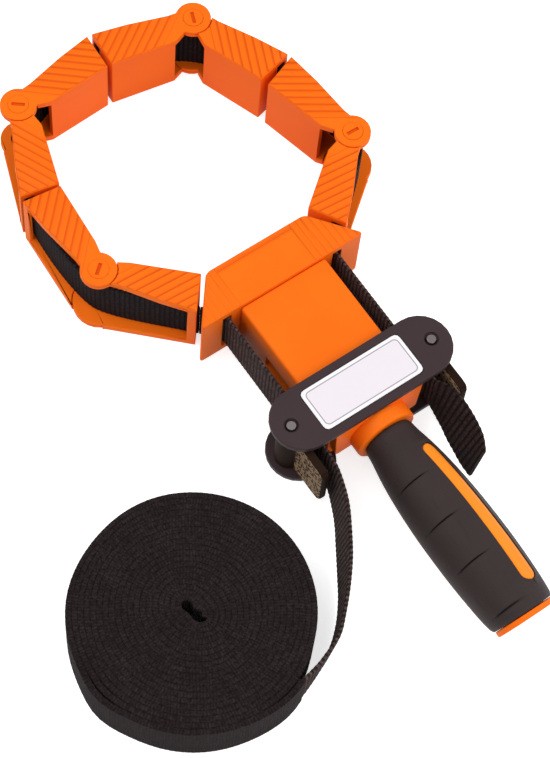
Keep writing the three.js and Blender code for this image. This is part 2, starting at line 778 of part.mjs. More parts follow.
function driveSpindle() {
  const rod = turned([
    [0, spindleTipY],
    [spindleTipRadius, spindleTipY],
    [spindleTipRadius, threadEndY],
    [threadMinor, threadEndY],
    [threadMinor, spindleFlangeY],
    [spindleFlangeRadius, spindleFlangeY],
    [spindleFlangeRadius, bodyRearY],
    [spindleNeckRadius, bodyRearY],
    [spindleNeckRadius, collarRearY - fitGap],
    [0, collarRearY - fitGap],
  ], threadSteps);
  const hexagon = circle(hexRadius, 0, axisZ, 6);
  const hexShank = lengthwise(hexagon, hexEndY, collarRearY);
  return joined([rod, threadRidge(threadStartY + threadRootHalf, threadEndY - threadRootHalf, 0), hexShank]);
}

function travellingNut() {
  const nut = block(
    -nutHalf, nutHalf, nutRearY, nutFrontY, axisZ - nutHeightHalf, axisZ + nutHeightHalf,
  );
  const bore = turned([
    [0, nutFrontY + overrun],
    [threadMinor + threadGap, nutFrontY + overrun],
    [threadMinor + threadGap, nutRearY - overrun],
    [0, nutRearY - overrun],
  ], threadSteps);
  const firstTurns = Math.floor((nutRearY - threadStartY - threadRootHalf) / threadPitch) - 1;
  const ridgeFrom = threadStartY + threadRootHalf + firstTurns * threadPitch;
  const ridge = threadRidge(ridgeFrom, nutFrontY + threadPitch, threadGap);
  const sockets = [1, -1].map((side) => block(
    ...[side * (trunnionSocketX - fitGap), side * (nutHalf + overrun)].sort((a, b) => a - b),
    -trunnionHalfY - fitGap, trunnionHalfY + fitGap,
    trunnionZ - trunnionHalfZ - fitGap, trunnionZ + trunnionHalfZ + fitGap,
  ));
  return cutBy(nut, [bore, ridge, ...sockets]);
}

function trunnion(side) {
  const bar = block(
    ...[side * trunnionSocketX, side * trunnionEndX].sort((a, b) => a - b),
    -trunnionHalfY, trunnionHalfY, trunnionZ - trunnionHalfZ, trunnionZ + trunnionHalfZ,
  );
  return bar.subtract(rod(postRadius + fitGap, 0, crossbarTop, holeSides, side * postX));
}

const crossbarOutline = () => {
  const centre = crossbarHalf - crossbarHalfWidth;
  const end = (side) => Array.from({ length: roundSides / 2 + 1 }, (_, i) => {
    const angle = -Math.PI / 2 + (i / (roundSides / 2)) * Math.PI + (side < 0 ? Math.PI : 0);
    return [side * centre + crossbarHalfWidth * Math.cos(angle), crossbarHalfWidth * Math.sin(angle)];
  });
  return [...end(1), ...end(-1)];
};

function labelOutline(grow) {
  const [x, y] = [labelHalf + grow, labelHalfWidth + grow];
  return rounded(rectangle(-x, x, -y, y), labelCorner, smallArcSteps);
}

function crossbarTopPlate() {
  const bottom = bodyTop + fitGap;
  const plate = slab(crossbarOutline(), bottom, crossbarTop);
  const recess = slab(labelOutline(fitGap), crossbarTop - labelRecess, crossbarTop + overrun);
  const holes = [1, -1].flatMap((side) => [
    rod(postRadius + fitGap, bottom - overrun, crossbarTop - postTopCover, holeSides, side * postX),
    rod(rivetRadius + fitGap, bottom - overrun, crossbarTop + overrun, holeSides, side * leverX),
    rod(dimpleRadius, crossbarTop - dimpleDepth, crossbarTop + overrun, headSides, side * leverX),
  ]);
  return cutBy(plate, [recess, ...holes]);
}

function crossbarBottomPlate() {
  const whole = slab(crossbarOutline(), 0, crossbarPlate);
  // Under the body the plate draws in, so that only its two round ends show
  const waists = [1, -1].map((side) => slab(
    [
      [-waistHalf - waistFlare, side * (crossbarHalfWidth + overrun)],
      [waistHalf + waistFlare, side * (crossbarHalfWidth + overrun)],
      [waistHalf, side * waistHalfWidth], [-waistHalf, side * waistHalfWidth],
    ],
    -overrun, crossbarPlate + overrun,
  ));
  const plate = cutBy(whole, waists);
  const headTop = postHeadInset + postHeadHeight + fitGap;
  const holes = [1, -1].flatMap((side) => [
    rod(postRadius + fitGap, -overrun, crossbarPlate + overrun, holeSides, side * postX),
    rod(postHeadRadius + fitGap, -overrun, headTop, headSides, side * postX),
    rod(rivetRadius + fitGap, -overrun, crossbarPlate + overrun, holeSides, side * leverX),
    rod(dimpleRadius, -overrun, dimpleDepth, headSides, side * leverX),
  ]);
  return cutBy(plate, holes);
}

function labelPlate() {
  const bottom = crossbarTop - labelRecess + (labelRecess - labelThickness) / 2;
  return slab(labelOutline(0), bottom, bottom + labelThickness);
}

function crossbarPost(side) {
  const x = side * postX;
  const head = rod(postHeadRadius, postHeadInset, postHeadInset + postHeadHeight, headSides, x);
  const shank = rod(postRadius, postHeadInset, crossbarTop - postTopCover - fitGap, holeSides, x);
  return head.add(shank);
}

function leverRivet(side) {
  const x = side * leverX;
  const lowTop = dimpleDepth - fitGap;
  const highBottom = crossbarTop - lowTop;
  const bite = rivetHeadHeight / 2;
  const lowHead = rod(rivetHeadRadius, lowTop - rivetHeadHeight, lowTop, headSides, x);
  const highHead = rod(rivetHeadRadius, highBottom, highBottom + rivetHeadHeight, headSides, x);
  const shank = rod(rivetRadius, lowTop - bite, highBottom + bite, holeSides, x);
  return joined([lowHead, highHead, shank]);
}

// A cam lever: an offset round cam beside the strap and a tab that points back
function camLever(side) {
  const x = side * leverX;
  const inward = (offset) => x - side * offset;
  const bottom = crossbarPlate + leverHeightInset;
  const top = bodyTop + fitGap - leverHeightInset;
  const cam = rod(camRadius, bottom, top, roundSides, inward(camOffsetX), camOffsetY);
  const half = leverThickness / 2;
  const edges = [inward(leverInward + half), inward(leverInward - half)].sort((a, b) => a - b);
  const tabBottom = bottom + leverTabInset;
  const tabTop = top - leverTabInset;
  const stem = slab(rectangle(...edges, half - leverLength, 0), tabBottom, tabTop);
  const tip = rod(half, tabBottom, tabTop, holeSides, inward(leverInward), half - leverLength);
  // Seen from the side the tab's free corners are round
  const tabSide = rounded(
    [[-leverLength, tabBottom], [leverLength, tabBottom], [leverLength, tabTop], [-leverLength, tabTop]],
    leverTabCorner, smallArcSteps,
  );
  const tab = stem.add(tip).intersect(crosswise(tabSide, edges[0] - overrun, edges[1] + overrun));
  return cam.add(tab).subtract(rod(rivetRadius + fitGap, 0, crossbarTop, holeSides, x));
}

// The grip's radius along the handle, as a smooth line through its stations
const gripLength = gripFront - gripRear;
const gripCurve = new THREE.SplineCurve(gripStationShares.map((share, i) => (
  new THREE.Vector2(gripRadius * gripRadiusShares[i], gripFront - share * gripLength)
)));
const gripSteps = 10;

function gripProfile(offset) {
  const outer = gripCurve.getPoints(gripSteps).map((p) => [p.x + offset, p.y]);
  return [...outer, [gripRadius * gripEndShare + offset, gripRear]];
}

function inlayShape(grow) {
  const [front, rear] = [inlayFrontHalf + grow, inlayRearHalf + grow];
  const [startY, endY] = [inlayStartY + grow, inlayEndY - grow];
  return rounded([[-rear, endY], [rear, endY], [front, startY], [-front, startY]], rear);
}

// A strip that stands out from the axis through the grip's skin, turned to its place round the handle
function inlayStrip(grow, angle, height) {
  const shape = new THREE.Shape(inlayShape(grow).map(([x, y]) => new THREE.Vector2(x, y)));
  const geometry = new THREE.ExtrudeGeometry(shape, { depth: height, bevelEnabled: false });
  return solidOf(geometry.rotateY(angle).translate(0, 0, axisZ));
}

function skin(outerOffset, innerOffset) {
  const shape = (offset) => turned([[0, gripFront], ...gripProfile(offset), [0, gripRear]], roundSides);
  return shape(outerOffset).subtract(shape(-innerOffset));
}

// The handle's rear end leans: its top reaches further back than its bottom
const endNormal = [0, Math.cos(gripEndLean), Math.sin(gripEndLean)];
const endOffset = gripRear * Math.cos(gripEndLean) + axisZ * Math.sin(gripEndLean);

const gripReach = gripRadius + overrun;
const inlayAngle = (i) => inlayFirstAngle + (i / inlayCount) * 2 * Math.PI;

function handleGrip() {
  const endReach = gripRear - gripRadius * Math.tan(gripEndLean);
  const endRadius = gripRadius * gripEndShare;
  const outer = turned([[0, gripFront], ...gripProfile(0), [endRadius, endReach], [0, endReach]])
    .trimByPlane(endNormal, endOffset);
  const bore = turned([
    [0, gripFront + overrun], [coreRadius + fitGap, gripFront + overrun],
    [coreRadius + fitGap, endReach - overrun], [0, endReach - overrun],
  ]);
  const pockets = Array.from({ length: inlayCount }, (_, i) => (
    inlayStrip(fitGap, inlayAngle(i), gripReach).intersect(skin(overrun, inlayDepth + fitGap))
  ));
  return cutBy(outer, [bore, ...pockets]);
}

function handleInlay(i) {
  return inlayStrip(0, inlayAngle(i), gripReach).intersect(skin(inlayProud, inlayDepth));
}

function handleCore() {
  const core = turned([
    [0, gripFront], [coreRadius, gripFront], [coreRadius, coreRearY], [0, coreRearY],
  ]);
  const socket = lengthwise(circle(hexRadius + looseGap, 0, axisZ, 6), hexEndY - fitGap, gripFront + overrun);
  const bore = turned([
    [0, coreRearY + coreBoreDepth], [coreBoreRadius, coreRearY + coreBoreDepth],
    [coreBoreRadius, coreRearY - overrun], [0, coreRearY - overrun],
  ]);
  return cutBy(core, [socket, bore]);
}

function thrustWasher() {
  const front = collarRearY + washerThickness + fitGap;
  const inner = spindleNeckRadius + fitGap;
  return turned([[inner, front], [washerRadius, front], [washerRadius, collarRearY + fitGap],
    [inner, collarRearY + fitGap], [inner, front]]);
}

function endCap() {
  const front = gripRear - fitGap;
  const rear = front - capThickness;
  const disc = turned([
    [0, front], [capRadius, front], [capRadius, rear + capRound], [capRadius - capRound, rear], [0, rear],
  ]);
  const leaning = disc
    .translate([0, -gripRear, -axisZ]).rotate([gripEndLean / degree, 0, 0]).translate([0, gripRear, axisZ]);
  const plug = turned([
    [0, coreRearY + capPlugLength], [capPlugRadius, coreRearY + capPlugLength],
    [capPlugRadius, front - capThickness / 2], [0, front - capThickness / 2],
  ]);
  return leaning.add(plug);
}

addPiece('front_jaw', frontJaw(), orangePlastic);
addPiece('body_housing', bodyHousing(), orangePlastic);
addPiece('rear_collar', rearCollar(), orangePlastic);
addPiece('drive_spindle', driveSpindle(), steel);
addPiece('thrust_washer', thrustWasher(), steel);
addPiece('travelling_nut', travellingNut(), steel);
addPiece('crossbar_top_plate', crossbarTopPlate(), blackPlastic);
addPiece('crossbar_bottom_plate', crossbarBottomPlate(), blackPlastic);
addPiece('label_plate', labelPlate(), labelWhite);
for (const [word, side] of [['left', -1], ['right', 1]]) {
  addPiece(`jaw_screw_${word}`, jawScrew(side), steel);
  addPiece(`trunnion_${word}`, trunnion(side), steel);
  addPiece(`crossbar_post_${word}`, crossbarPost(side), steel);
  addPiece(`lever_rivet_${word}`, leverRivet(side), steel);
  addPiece(`cam_lever_${word}`, camLever(side), blackPlastic);
}
addPiece('handle_core', handleCore(), blackPlastic);
addPiece('handle_grip', handleGrip(), gripRubber);
for (let i = 0; i < inlayCount; i += 1) addPiece(`handle_inlay_${i + 1}`, handleInlay(i), orangePlastic);
addPiece('handle_end_cap', endCap(), orangePlastic);

// Strap beside the body and through the jaw
const runRearY = -crossbarHalfWidth;
for (const [word, side] of [['left', 1], ['right', -1]]) {
  const inJaw = jawStrapCurve(side, jawRearY, -strapJoinGap / 2);
  addPiece(`strap_jaw_${word}`, uprightStrap(inJaw, strapSteps), webbing);
  const run = new THREE.LineCurve(
    new THREE.Vector2(-side * strapRunX, runRearY),
    new THREE.Vector2(-side * strapRunX, jawRearY - strapJoinGap),
  );
  addPiece(`strap_run_${word}`, uprightStrap(run, 1), webbing);
}

// The coil: one strap that winds inwards, with a loose outermost turn and a slightly drawn out core
const coilPitch = (coilOuter - coilInner) / coilLoops;
function coilPoint(loops) {
  const angle = coilEndAngle - loops * 2 * Math.PI;
  const left = coilLoops - loops;
  const stretch = coilStretch * Math.exp(-left / coilFadeLoops);
  const bulge = coilBulge * Math.exp(-(((loops - coilBulgeLoops) / coilBulgeSpread) ** 2));
  const radius = coilInner + left * coilPitch + bulge + stretch * Math.cos(2 * (angle - coilStretchAngle));
  return new THREE.Vector2(coilX + radius * Math.cos(angle), coilY + radius * Math.sin(angle));
}

function coilStations() {
  const steps = coilLoops * coilStepsPerLoop;
  return Array.from({ length: steps + 1 }, (_, i) => coilPoint(i / coilStepsPerLoop));
}

function leastCoilGap() {
  const points = coilStations();
  let least = Infinity;
  points.forEach((p, i) => {
    for (let j = i + coilStepsPerLoop / 2; j < points.length - 1; j += 1) {
      const a = points[j];
      const along = points[j + 1].clone().sub(a);
      const share = THREE.MathUtils.clamp(p.clone().sub(a).dot(along) / along.lengthSq(), 0, 1);
      least = Math.min(least, p.distanceTo(a.clone().addScaledVector(along, share)) - strapThickness);
    }
  });
  return least;
}

const coil = coilStations().map((p) => ({ x: p.x, y: p.y, z: strapWidth / 2, lean: 0 }));
addPiece('strap_coil', ribbon(coil), webbing);
console.log(`least gap of the coil to itself: ${leastCoilGap().toFixed(2)} mm`);

// Free stretches of strap, which sink from the crossbar's level to the floor
function freeStations(route, leans, lastPoint, dropTo, steps) {
  const all = lastPoint ? [...route, lastPoint] : route;
  const curve = new THREE.SplineCurve(all.map(([x, y]) => new THREE.Vector2(x, y)));
  const leanAt = (share) => {
    const place = share * (all.length - 1);
    const i = Math.min(Math.floor(place), all.length - 2);
    const values = lastPoint ? [...leans, 0] : leans;
    return (values[i] + (values[i + 1] - values[i]) * (place - i)) * degree;
  };
  return Array.from({ length: steps + 1 }, (_, i) => {
    const share = i / steps;
    const p = curve.getPoint(share);
    const smooth = share * share * (3 - 2 * share);
    return { x: p.x, y: p.y, z: strapMiddle + (dropTo - strapMiddle) * smooth, lean: leanAt(share) };
  });
}

const beside = (route, side) => route.map(([x, y]) => [side * strapRunX + x, y]);
const coilStart = coilPoint(0);
const coilWay = coilPoint(1 / coilStepsPerLoop).sub(coilStart).normalize();
const leadEnd = coilStart.clone().addScaledVector(coilWay, -strapJoinGap);
const leadApproach = leadEnd.clone().addScaledVector(coilWay, -strapLine);
const leadSteps = 36;
const leadStations = freeStations(
  [...beside(leadRoute, -1), leadApproach.toArray()], [...leadLeans.map((lean) => -lean), 0],
  leadEnd.toArray(), strapWidth / 2, leadSteps,
);
addPiece('strap_lead', ribbon(leadStations), webbing);
const tailSteps = 16;
const tailStations = freeStations(beside(tailRoute, 1), tailLeans, null, strapMiddle - tailSink, tailSteps);
addPiece('strap_tail', ribbon(tailStations), webbing);

// The whole stands on the floor, centred on the box of all that isn't free strap
const freeStrap = ['strap_coil', 'strap_lead', 'strap_tail'];
const box = new THREE.Box3();
for (const mesh of clampRing.children) {
  if (!freeStrap.includes(mesh.name)) box.expandByObject(mesh, true);
}
const centre = box.getCenter(new THREE.Vector3());
clampRing.position.set(-centre.x, -centre.y, -box.min.z);

export default clampRing;
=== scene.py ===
from math import asin, atan2, cos, exp, hypot, pi, radians, sin, sqrt, tan, tau

import bmesh
import bpy
from mathutils import Matrix, Vector
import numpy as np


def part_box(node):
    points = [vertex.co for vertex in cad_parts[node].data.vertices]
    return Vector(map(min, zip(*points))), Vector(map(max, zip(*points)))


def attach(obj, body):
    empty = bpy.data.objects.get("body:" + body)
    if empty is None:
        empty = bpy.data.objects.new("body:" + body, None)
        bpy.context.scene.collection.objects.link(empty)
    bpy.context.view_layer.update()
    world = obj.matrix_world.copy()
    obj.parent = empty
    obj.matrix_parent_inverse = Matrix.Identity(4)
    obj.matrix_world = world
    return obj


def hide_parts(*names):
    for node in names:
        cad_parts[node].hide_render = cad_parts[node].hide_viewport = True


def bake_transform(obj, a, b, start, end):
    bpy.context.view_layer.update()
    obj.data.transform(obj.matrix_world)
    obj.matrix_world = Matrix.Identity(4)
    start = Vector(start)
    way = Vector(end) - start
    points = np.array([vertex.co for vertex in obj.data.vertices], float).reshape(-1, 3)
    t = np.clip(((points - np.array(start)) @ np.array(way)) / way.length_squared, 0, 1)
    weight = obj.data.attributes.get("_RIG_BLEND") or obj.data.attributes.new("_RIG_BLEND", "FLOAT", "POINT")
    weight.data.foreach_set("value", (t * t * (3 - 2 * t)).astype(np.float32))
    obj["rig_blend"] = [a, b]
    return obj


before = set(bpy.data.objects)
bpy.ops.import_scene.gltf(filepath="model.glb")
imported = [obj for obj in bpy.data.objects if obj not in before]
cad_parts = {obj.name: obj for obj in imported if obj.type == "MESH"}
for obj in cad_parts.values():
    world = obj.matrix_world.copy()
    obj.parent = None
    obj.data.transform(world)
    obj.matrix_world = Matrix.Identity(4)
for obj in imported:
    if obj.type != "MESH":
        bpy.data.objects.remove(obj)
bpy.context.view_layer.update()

# Camera: it looks down on the clamp from high up on the left, behind the handle, through a long lens. It
# leans a little, so that the handle points down to the right. The photograph is a crop, so the lens is
# shifted by a few of its pixels.
eye = Vector((-0.3112, -0.3415, 0.9606))
aim = Vector((-0.0201, -0.0083, 0))
lean = radians(7.03)
forward = (aim - eye).normalized()
level = forward.cross(Vector((0, 0, 1))).normalized()
upright = level.cross(forward)
picture_right = cos(lean) * level + sin(lean) * upright
picture_up = cos(lean) * upright - sin(lean) * level
camera = bpy.data.objects.new("camera", bpy.data.cameras.new("camera"))
camera.matrix_world = Matrix.Translation(eye) @ Matrix(
    (picture_right, picture_up, -forward)).transposed().to_4x4()
camera.data.sensor_fit = "HORIZONTAL"
camera.data.sensor_width = 36
camera.data.lens = 161.7
picture_width = 550
shift_right, shift_up = -0.6, -2.3
camera.data.shift_x = shift_right / picture_width
camera.data.shift_y = shift_up / picture_width
bpy.context.scene.collection.objects.link(camera)
bpy.context.scene.camera = camera

# Webbing strap: black polyester, 25 mm wide and 1.7 mm thick, woven in crosswise ribs. It stands on its edge.
# Each stretch is a flat tube along its middle line, drawn in a little between one rib and the next.
mm = 0.001
spindle_low, spindle_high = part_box("drive_spindle")
tool_x = (spindle_low.x + spindle_high.x) / 2
nut_half = 5 * mm
tool_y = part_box("travelling_nut")[0].y + nut_half
tool_origin = Vector((tool_x, tool_y, 0))
strap_width = 25
strap_thickness = 1.7
strap_middle = 16.5
strap_rib = 2.2


# Helpers for the materials
def colour(red, green, blue):
    """A colour as it is seen on a screen, from 0 to 255, as Blender's linear colour."""
    shares = [value / 255 for value in (red, green, blue)]
    return [s / 12.92 if s < 0.04 else ((s + 0.055) / 1.055) ** 2.4 for s in shares] + [1]


def feed(tree, socket, value):
    """Gives a shader socket its value, or links it to the socket that the value comes from."""
    if isinstance(value, bpy.types.NodeSocket):
        tree.links.new(value, socket)
    else:
        socket.default_value = value


def add_node(tree, kind, settings=None, **sockets):
    """A shader node. Each socket gets a value or what feeds it, and a socket's number stands after an i."""
    node = tree.nodes.new("ShaderNode" + kind)
    for name, value in (settings or {}).items():
        setattr(node, name, value)
    for name, value in sockets.items():
        key = int(name[1:]) if name[1:].isdigit() else name.replace("_", " ")
        feed(tree, node.inputs[key], value)
    return node


def calc(tree, operation, *values):
    """What an operation makes of shader values."""
    sockets = {f"i{i}": value for i, value in enumerate(values)}
    return add_node(tree, "Math", {"operation": operation}, **sockets).outputs[0]


def new_group(name, inputs, outputs):
    """A shader node group. Gives its tree, its inputs by name and the node that takes its outputs."""
    tree = bpy.data.node_groups.new(name, "ShaderNodeTree")
    for word, default in inputs.items():
        kind = "NodeSocketVector" if isinstance(default, tuple) else "NodeSocketFloat"
        tree.interface.new_socket(word, in_out="INPUT", socket_type=kind).default_value = default
    for word in outputs:
        tree.interface.new_socket(word, in_out="OUTPUT", socket_type="NodeSocketFloat")
    start = tree.nodes.new("NodeGroupInput")
    return tree, start.outputs, tree.nodes.new("NodeGroupOutput")


def use_group(tree, group, **sockets):
    """The outputs of a shader node group, fed with these values."""
    node = tree.nodes.new("ShaderNodeGroup")
    node.node_tree = group
    for name, value in sockets.items():
        feed(tree, node.inputs[name], value)
    return node.outputs


def new_finish(name, settings):
    """A material with its Principled shader, whose plain sockets are set here."""
    finish = bpy.data.materials.new(name)
    finish.use_nodes = True
    shader = finish.node_tree.nodes["Principled BSDF"]
    for word, value in settings.items():
        shader.inputs[word].default_value = value
    return finish, finish.node_tree, shader


def mix_colours(tree, share, first, second):
    """The first colour, with so much of the second."""
    return add_node(tree, "Mix", {"data_type": "RGBA"}, i0=share, i6=first, i7=second).outputs[2]


def add_relief(tree, shader, height, distance):
    """Makes a surface look raised by a height, times a distance."""
    bump = add_node(tree, "Bump", Height=height, Distance=distance, Strength=1.0)
    tree.links.new(bump.outputs[0], shader.inputs["Normal"])


# Weave: rows of yarn floats, each row set over from the one before, which makes the slanting lines
weave, given, out = new_group("webbing weave", {"Along": 0.0, "Across": 0.0, "Rib": 0.0022, "Yarn": 0.0011},
                              ["Height"])
row_offset_share, flat_yarn_share = 0.36, 0.45
row = calc(weave, "DIVIDE", given["Along"], given["Rib"])
row_step = calc(weave, "MULTIPLY", calc(weave, "FLOOR", row), row_offset_share)
column = calc(weave, "ADD", calc(weave, "DIVIDE", given["Across"], given["Yarn"]), row_step)
crown = calc(weave, "SINE", calc(weave, "MULTIPLY", calc(weave, "FRACT", row), pi))
yarn = calc(weave, "SINE", calc(weave, "MULTIPLY", calc(weave, "FRACT", column), pi))
rounded = calc(weave, "MULTIPLY_ADD", yarn, 1 - flat_yarn_share, flat_yarn_share)
weave.links.new(calc(weave, "MULTIPLY", crown, rounded), out.inputs["Height"])


def webbing_finish(name, rib, painted_shade, dull, worn, yarn=1.1, even=0.0, relief=0.0007):
    """Webbing with a painted shade colour for its weave's depths and two painted highlight colours for its
    raised yarns, which random patches mix. In an even weave the ribs show less.
    """
    finish, tree, shader = new_finish(name, {"Specular IOR Level": 0.06})
    along = add_node(tree, "Attribute", {"attribute_name": "along"}).outputs["Fac"]
    across = add_node(tree, "Attribute", {"attribute_name": "across"}).outputs["Fac"]
    woven = use_group(tree, weave, Along=along, Across=across, Rib=rib * mm, Yarn=yarn * mm)
    place = add_node(tree, "TexCoord").outputs["Object"]
    fuzz = add_node(tree, "TexNoise", Vector=place, Scale=900.0, Detail=4.0, Roughness=0.7).outputs[0]
    patches = add_node(tree, "TexNoise", Vector=place, Scale=70.0, Detail=2.0).outputs[0]
    fibre = add_node(tree, "MapRange", Value=fuzz, From_Min=0.4, From_Max=0.62).outputs[0]
    light = mix_colours(tree, patches, dull, worn)
    # Raised yarns get the painted highlight and the weave's depths the painted shade
    raised = calc(tree, "MULTIPLY_ADD", woven["Height"], 1 - even, even)
    share = calc(tree, "MULTIPLY", raised, calc(tree, "MULTIPLY_ADD", fibre, 0.75, 0.25))
    tree.links.new(mix_colours(tree, share, painted_shade, light), shader.inputs["Base Color"])
    tree.links.new(calc(tree, "MULTIPLY_ADD", fuzz, 0.3, 0.65), shader.inputs["Roughness"])
    add_relief(tree, shader, calc(tree, "MULTIPLY_ADD", fibre, 0.4, woven["Height"]), relief)
    return finish


# Helpers for the shapes
def evenly(line, step):
    """The line's stations, set a fixed step apart."""
    reach = [0]
    for a, b in zip(line, line[1:]):
        reach.append(reach[-1] + hypot(b[0] - a[0], b[1] - a[1]))
    count = max(2, 2 * round(reach[-1] / step / 2))
    stations, i = [], 0
    for k in range(count + 1):
        want = reach[-1] * k / count
        while i < len(line) - 2 and reach[i + 1] < want:
            i += 1
        share = (want - reach[i]) / (reach[i + 1] - reach[i])
        stations.append([p + (q - p) * share for p, q in zip(line[i], line[i + 1])])
    return stations, reach[-1]


def tube_net(columns, rows, *marks):
    """A net to be laid round a tube, with a layer for each mark, and its points with their column and row."""
    shape = bmesh.new()
    for mark in marks:
        shape.verts.layers.float.new(mark)
    bmesh.ops.create_grid(shape, x_segments=columns, y_segments=rows, size=1)
    points = [(vert, round((vert.co.x + 1) / 2 * columns) % columns, round((vert.co.y + 1) / 2 * rows))
              for vert in shape.verts]
    return shape, points


def close_net(shape):
    """Joins the net's edges, fills its open ends and turns its faces outward."""
    bmesh.ops.remove_doubles(shape, verts=shape.verts, dist=1e-7)
    bmesh.ops.holes_fill(shape, edges=[e for e in shape.edges if e.is_boundary], sides=0)
    bmesh.ops.recalc_face_normals(shape, faces=shape.faces)


def flat_section(flat_share, straight_share):
    """A strap's outline, in shares of its thickness and its width from its middle."""
    half = [(-0.5, -straight_share), (-flat_share, -0.5), (flat_share, -0.5), (0.5, -straight_share)]
    half.append((0.5, 0))
    return half + [(-x, -y) for x, y in half]


def webbing(line, rib=strap_rib, section=flat_section(0.28, 0.46), drawn_in=(0.22, 0.6)):
    """A stretch of strap along a line of [x, y, middle height, lean], in the clamp's own millimetres.
    A fifth value in the line is how thick the strap is there. Between two ribs the strap is thinner and
    narrower, by the two values of drawn_in."""
    stations, length = evenly(line, rib / 2)
    last = len(stations) - 1
    shape, points = tube_net(len(section), last, "along", "across")
    along_layer, across_layer = shape.verts.layers.float["along"], shape.verts.layers.float["across"]
    for vert, i, k in points:
        x, y, z, tip, thickness = (stations[k] + [strap_thickness])[:5]
        back, ahead = stations[max(k - 1, 0)], stations[min(k + 1, last)]
        way = Vector((ahead[0] - back[0], ahead[1] - back[1], 0)).normalized()
        left = Vector((-way.y, way.x, 0))
        up = Vector((0, 0, cos(tip))) + left * sin(tip)
        thinner, narrower = (0, 0) if k % 2 else drawn_in
        depth_share, height_share = section[i]
        depth = depth_share * (thickness - thinner)
        height = height_share * (strap_width - narrower)
        spot = Vector((x, y, z)) + up.cross(way) * depth + up * height
        vert.co = tool_origin + spot * mm
        vert[along_layer] = (k + 0.5) / 2 * rib * mm
        vert[across_layer] = height * mm
    close_net(shape)
    return shape, length * mm


def set_up(shape, name, body, slot, replaced, *finishes):
    """The finished shape as a piece that rides on a body and stands for CAD nodes."""
    mesh = bpy.data.meshes.new(name)
    shape.to_mesh(mesh)
    shape.free()
    mesh.shade_smooth()
    mesh.set_sharp_from_angle(angle=radians(40))
    for finish in finishes:
        mesh.materials.append(finish)
    piece = bpy.data.objects.new(name, mesh)
    bpy.context.scene.collection.objects.link(piece)
    if body:
        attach(piece, body)
    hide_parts(*replaced)
    return piece


def smooth_line(points, steps):
    """Points on a smooth curve through the given ones, with each one's place as a share."""
    line, last = [], len(points) - 1
    for k in range(steps + 1):
        place = k / steps * last
        i = min(int(place), last - 1)
        t = place - i
        before, p, q, after = (points[min(max(i + j, 0), last)] for j in (-1, 0, 1, 2))
        spot = []
        for a, b, c, d in zip(before, p, q, after):
            leave, arrive = (c - a) / 2, (d - b) / 2
            spot.append(((2 * b - 2 * c + leave + arrive) * t + 3 * (c - b) - 2 * leave - arrive) * t * t
                        + leave * t + b)
        line.append((spot, k / steps))
    return line


def free_line(points, leans, end_height):
    """A free stretch, which sinks from the crossbar's level and leans as it goes."""
    line = []
    for (x, y, tip), share in smooth_line([(*spot, tip) for spot, tip in zip(points, leans)], 240):
        sunk = share * share * (3 - 2 * share)
        line.append([x, y, strap_middle + (end_height - strap_middle) * sunk, radians(tip)])
    return line


# Spare strap, wound flat into a coil of 19 turns. It lies on its edge. Its outer turns stand out or lie in a
# little at some angles, and its core is drawn out of round.
coil_x, coil_y = -111.5, -41
coil_turns = 19
coil_outer, coil_inner = 50.9, 3.6
coil_start_angle = radians(-68)
coil_bulges = ((190, 13, 2), (110, 26, -1.4), (20, 30, 0.5), (285, 16, 1.3))
coil_fade_turns = 1.8
core_oval, core_oval_turns, core_oval_angle = 2, 8, radians(105)
coil_most_room, coil_press = 2.6, 0.1
coil_steps = 72


def coil_spot(turns):
    """A place in the coil, so many turns in from its outer end."""
    angle = coil_start_angle - turns * tau
    left = coil_turns - turns
    radius = coil_inner + left * (coil_outer - coil_inner) / coil_turns
    for middle, spread, grown in coil_bulges:
        away = (angle - radians(middle) + pi) % tau - pi
        radius += grown * exp(-turns / coil_fade_turns) * exp(-((away / radians(spread)) ** 2))
    radius += core_oval * exp(-left / core_oval_turns) * cos(2 * (angle - core_oval_angle))
    return [coil_x + radius * cos(angle), coil_y + radius * sin(angle)]


def coil_room(turns):
    """How thick the strap is drawn in the coil, where its turns press on each other."""
    spot = Vector(coil_spot(turns))
    rooms = [(Vector(coil_spot(near)) - spot).length
             for near in (turns - 1, turns + 1) if 0 <= near <= coil_turns]
    return min(rooms + [coil_most_room]) + coil_press


coil_line = []
for k in range(coil_turns * coil_steps + 1):
    turns = k / coil_steps
    coil_line.append([*coil_spot(turns), strap_width / 2, 0, coil_room(turns)])
shape, coil_length = webbing(coil_line, section=flat_section(0.38, 0.488), drawn_in=(0.08, 0.12))
coil_webbing = webbing_finish("coiled webbing", 1.3, colour(18, 10, 11), colour(40, 32, 33),
                              colour(60, 51, 52), yarn=0.9, even=0.6, relief=0.0003)
coil_piece = set_up(shape, "coiled_strap", "body", "webbing", ["strap_coil"], coil_webbing)

# Lead: the strap's stretch from the left cam to the coil. It lies on its edge and tips over on the way.
lead_points = [(-28, -14.8), (-28.9, -20), (-30.8, -26.9), (-35.2, -37.4), (-41.1, -47.3), (-47.3, -56.9),
               (-54, -66), (-61.5, -74.3), (-69.7, -81.2), (-80.2, -85.9)]
coil_start, coil_next = Vector(coil_spot(0)), Vector(coil_spot(1 / 24))
coil_way = (coil_next - coil_start).normalized()
lead_gap, lead_straight = 0.3, 4.5
lead_end = coil_start - coil_way * lead_gap
lead_points += [tuple(lead_end - coil_way * lead_straight), tuple(lead_end)]
lead_leans = [0, 3, 5.5, 8, 9, 8.5, 5.5, 4, 5.5, 4.5, 2, 0]
shape, length = webbing(free_line(lead_points, lead_leans, strap_width / 2))
strap_webbing = webbing_finish("webbing", strap_rib, colour(24, 16, 15), colour(106, 86, 84),
                               colour(132, 110, 106))
lead_piece = set_up(shape, "strap_to_the_coil", "body", "webbing", ["strap_lead"], strap_webbing)

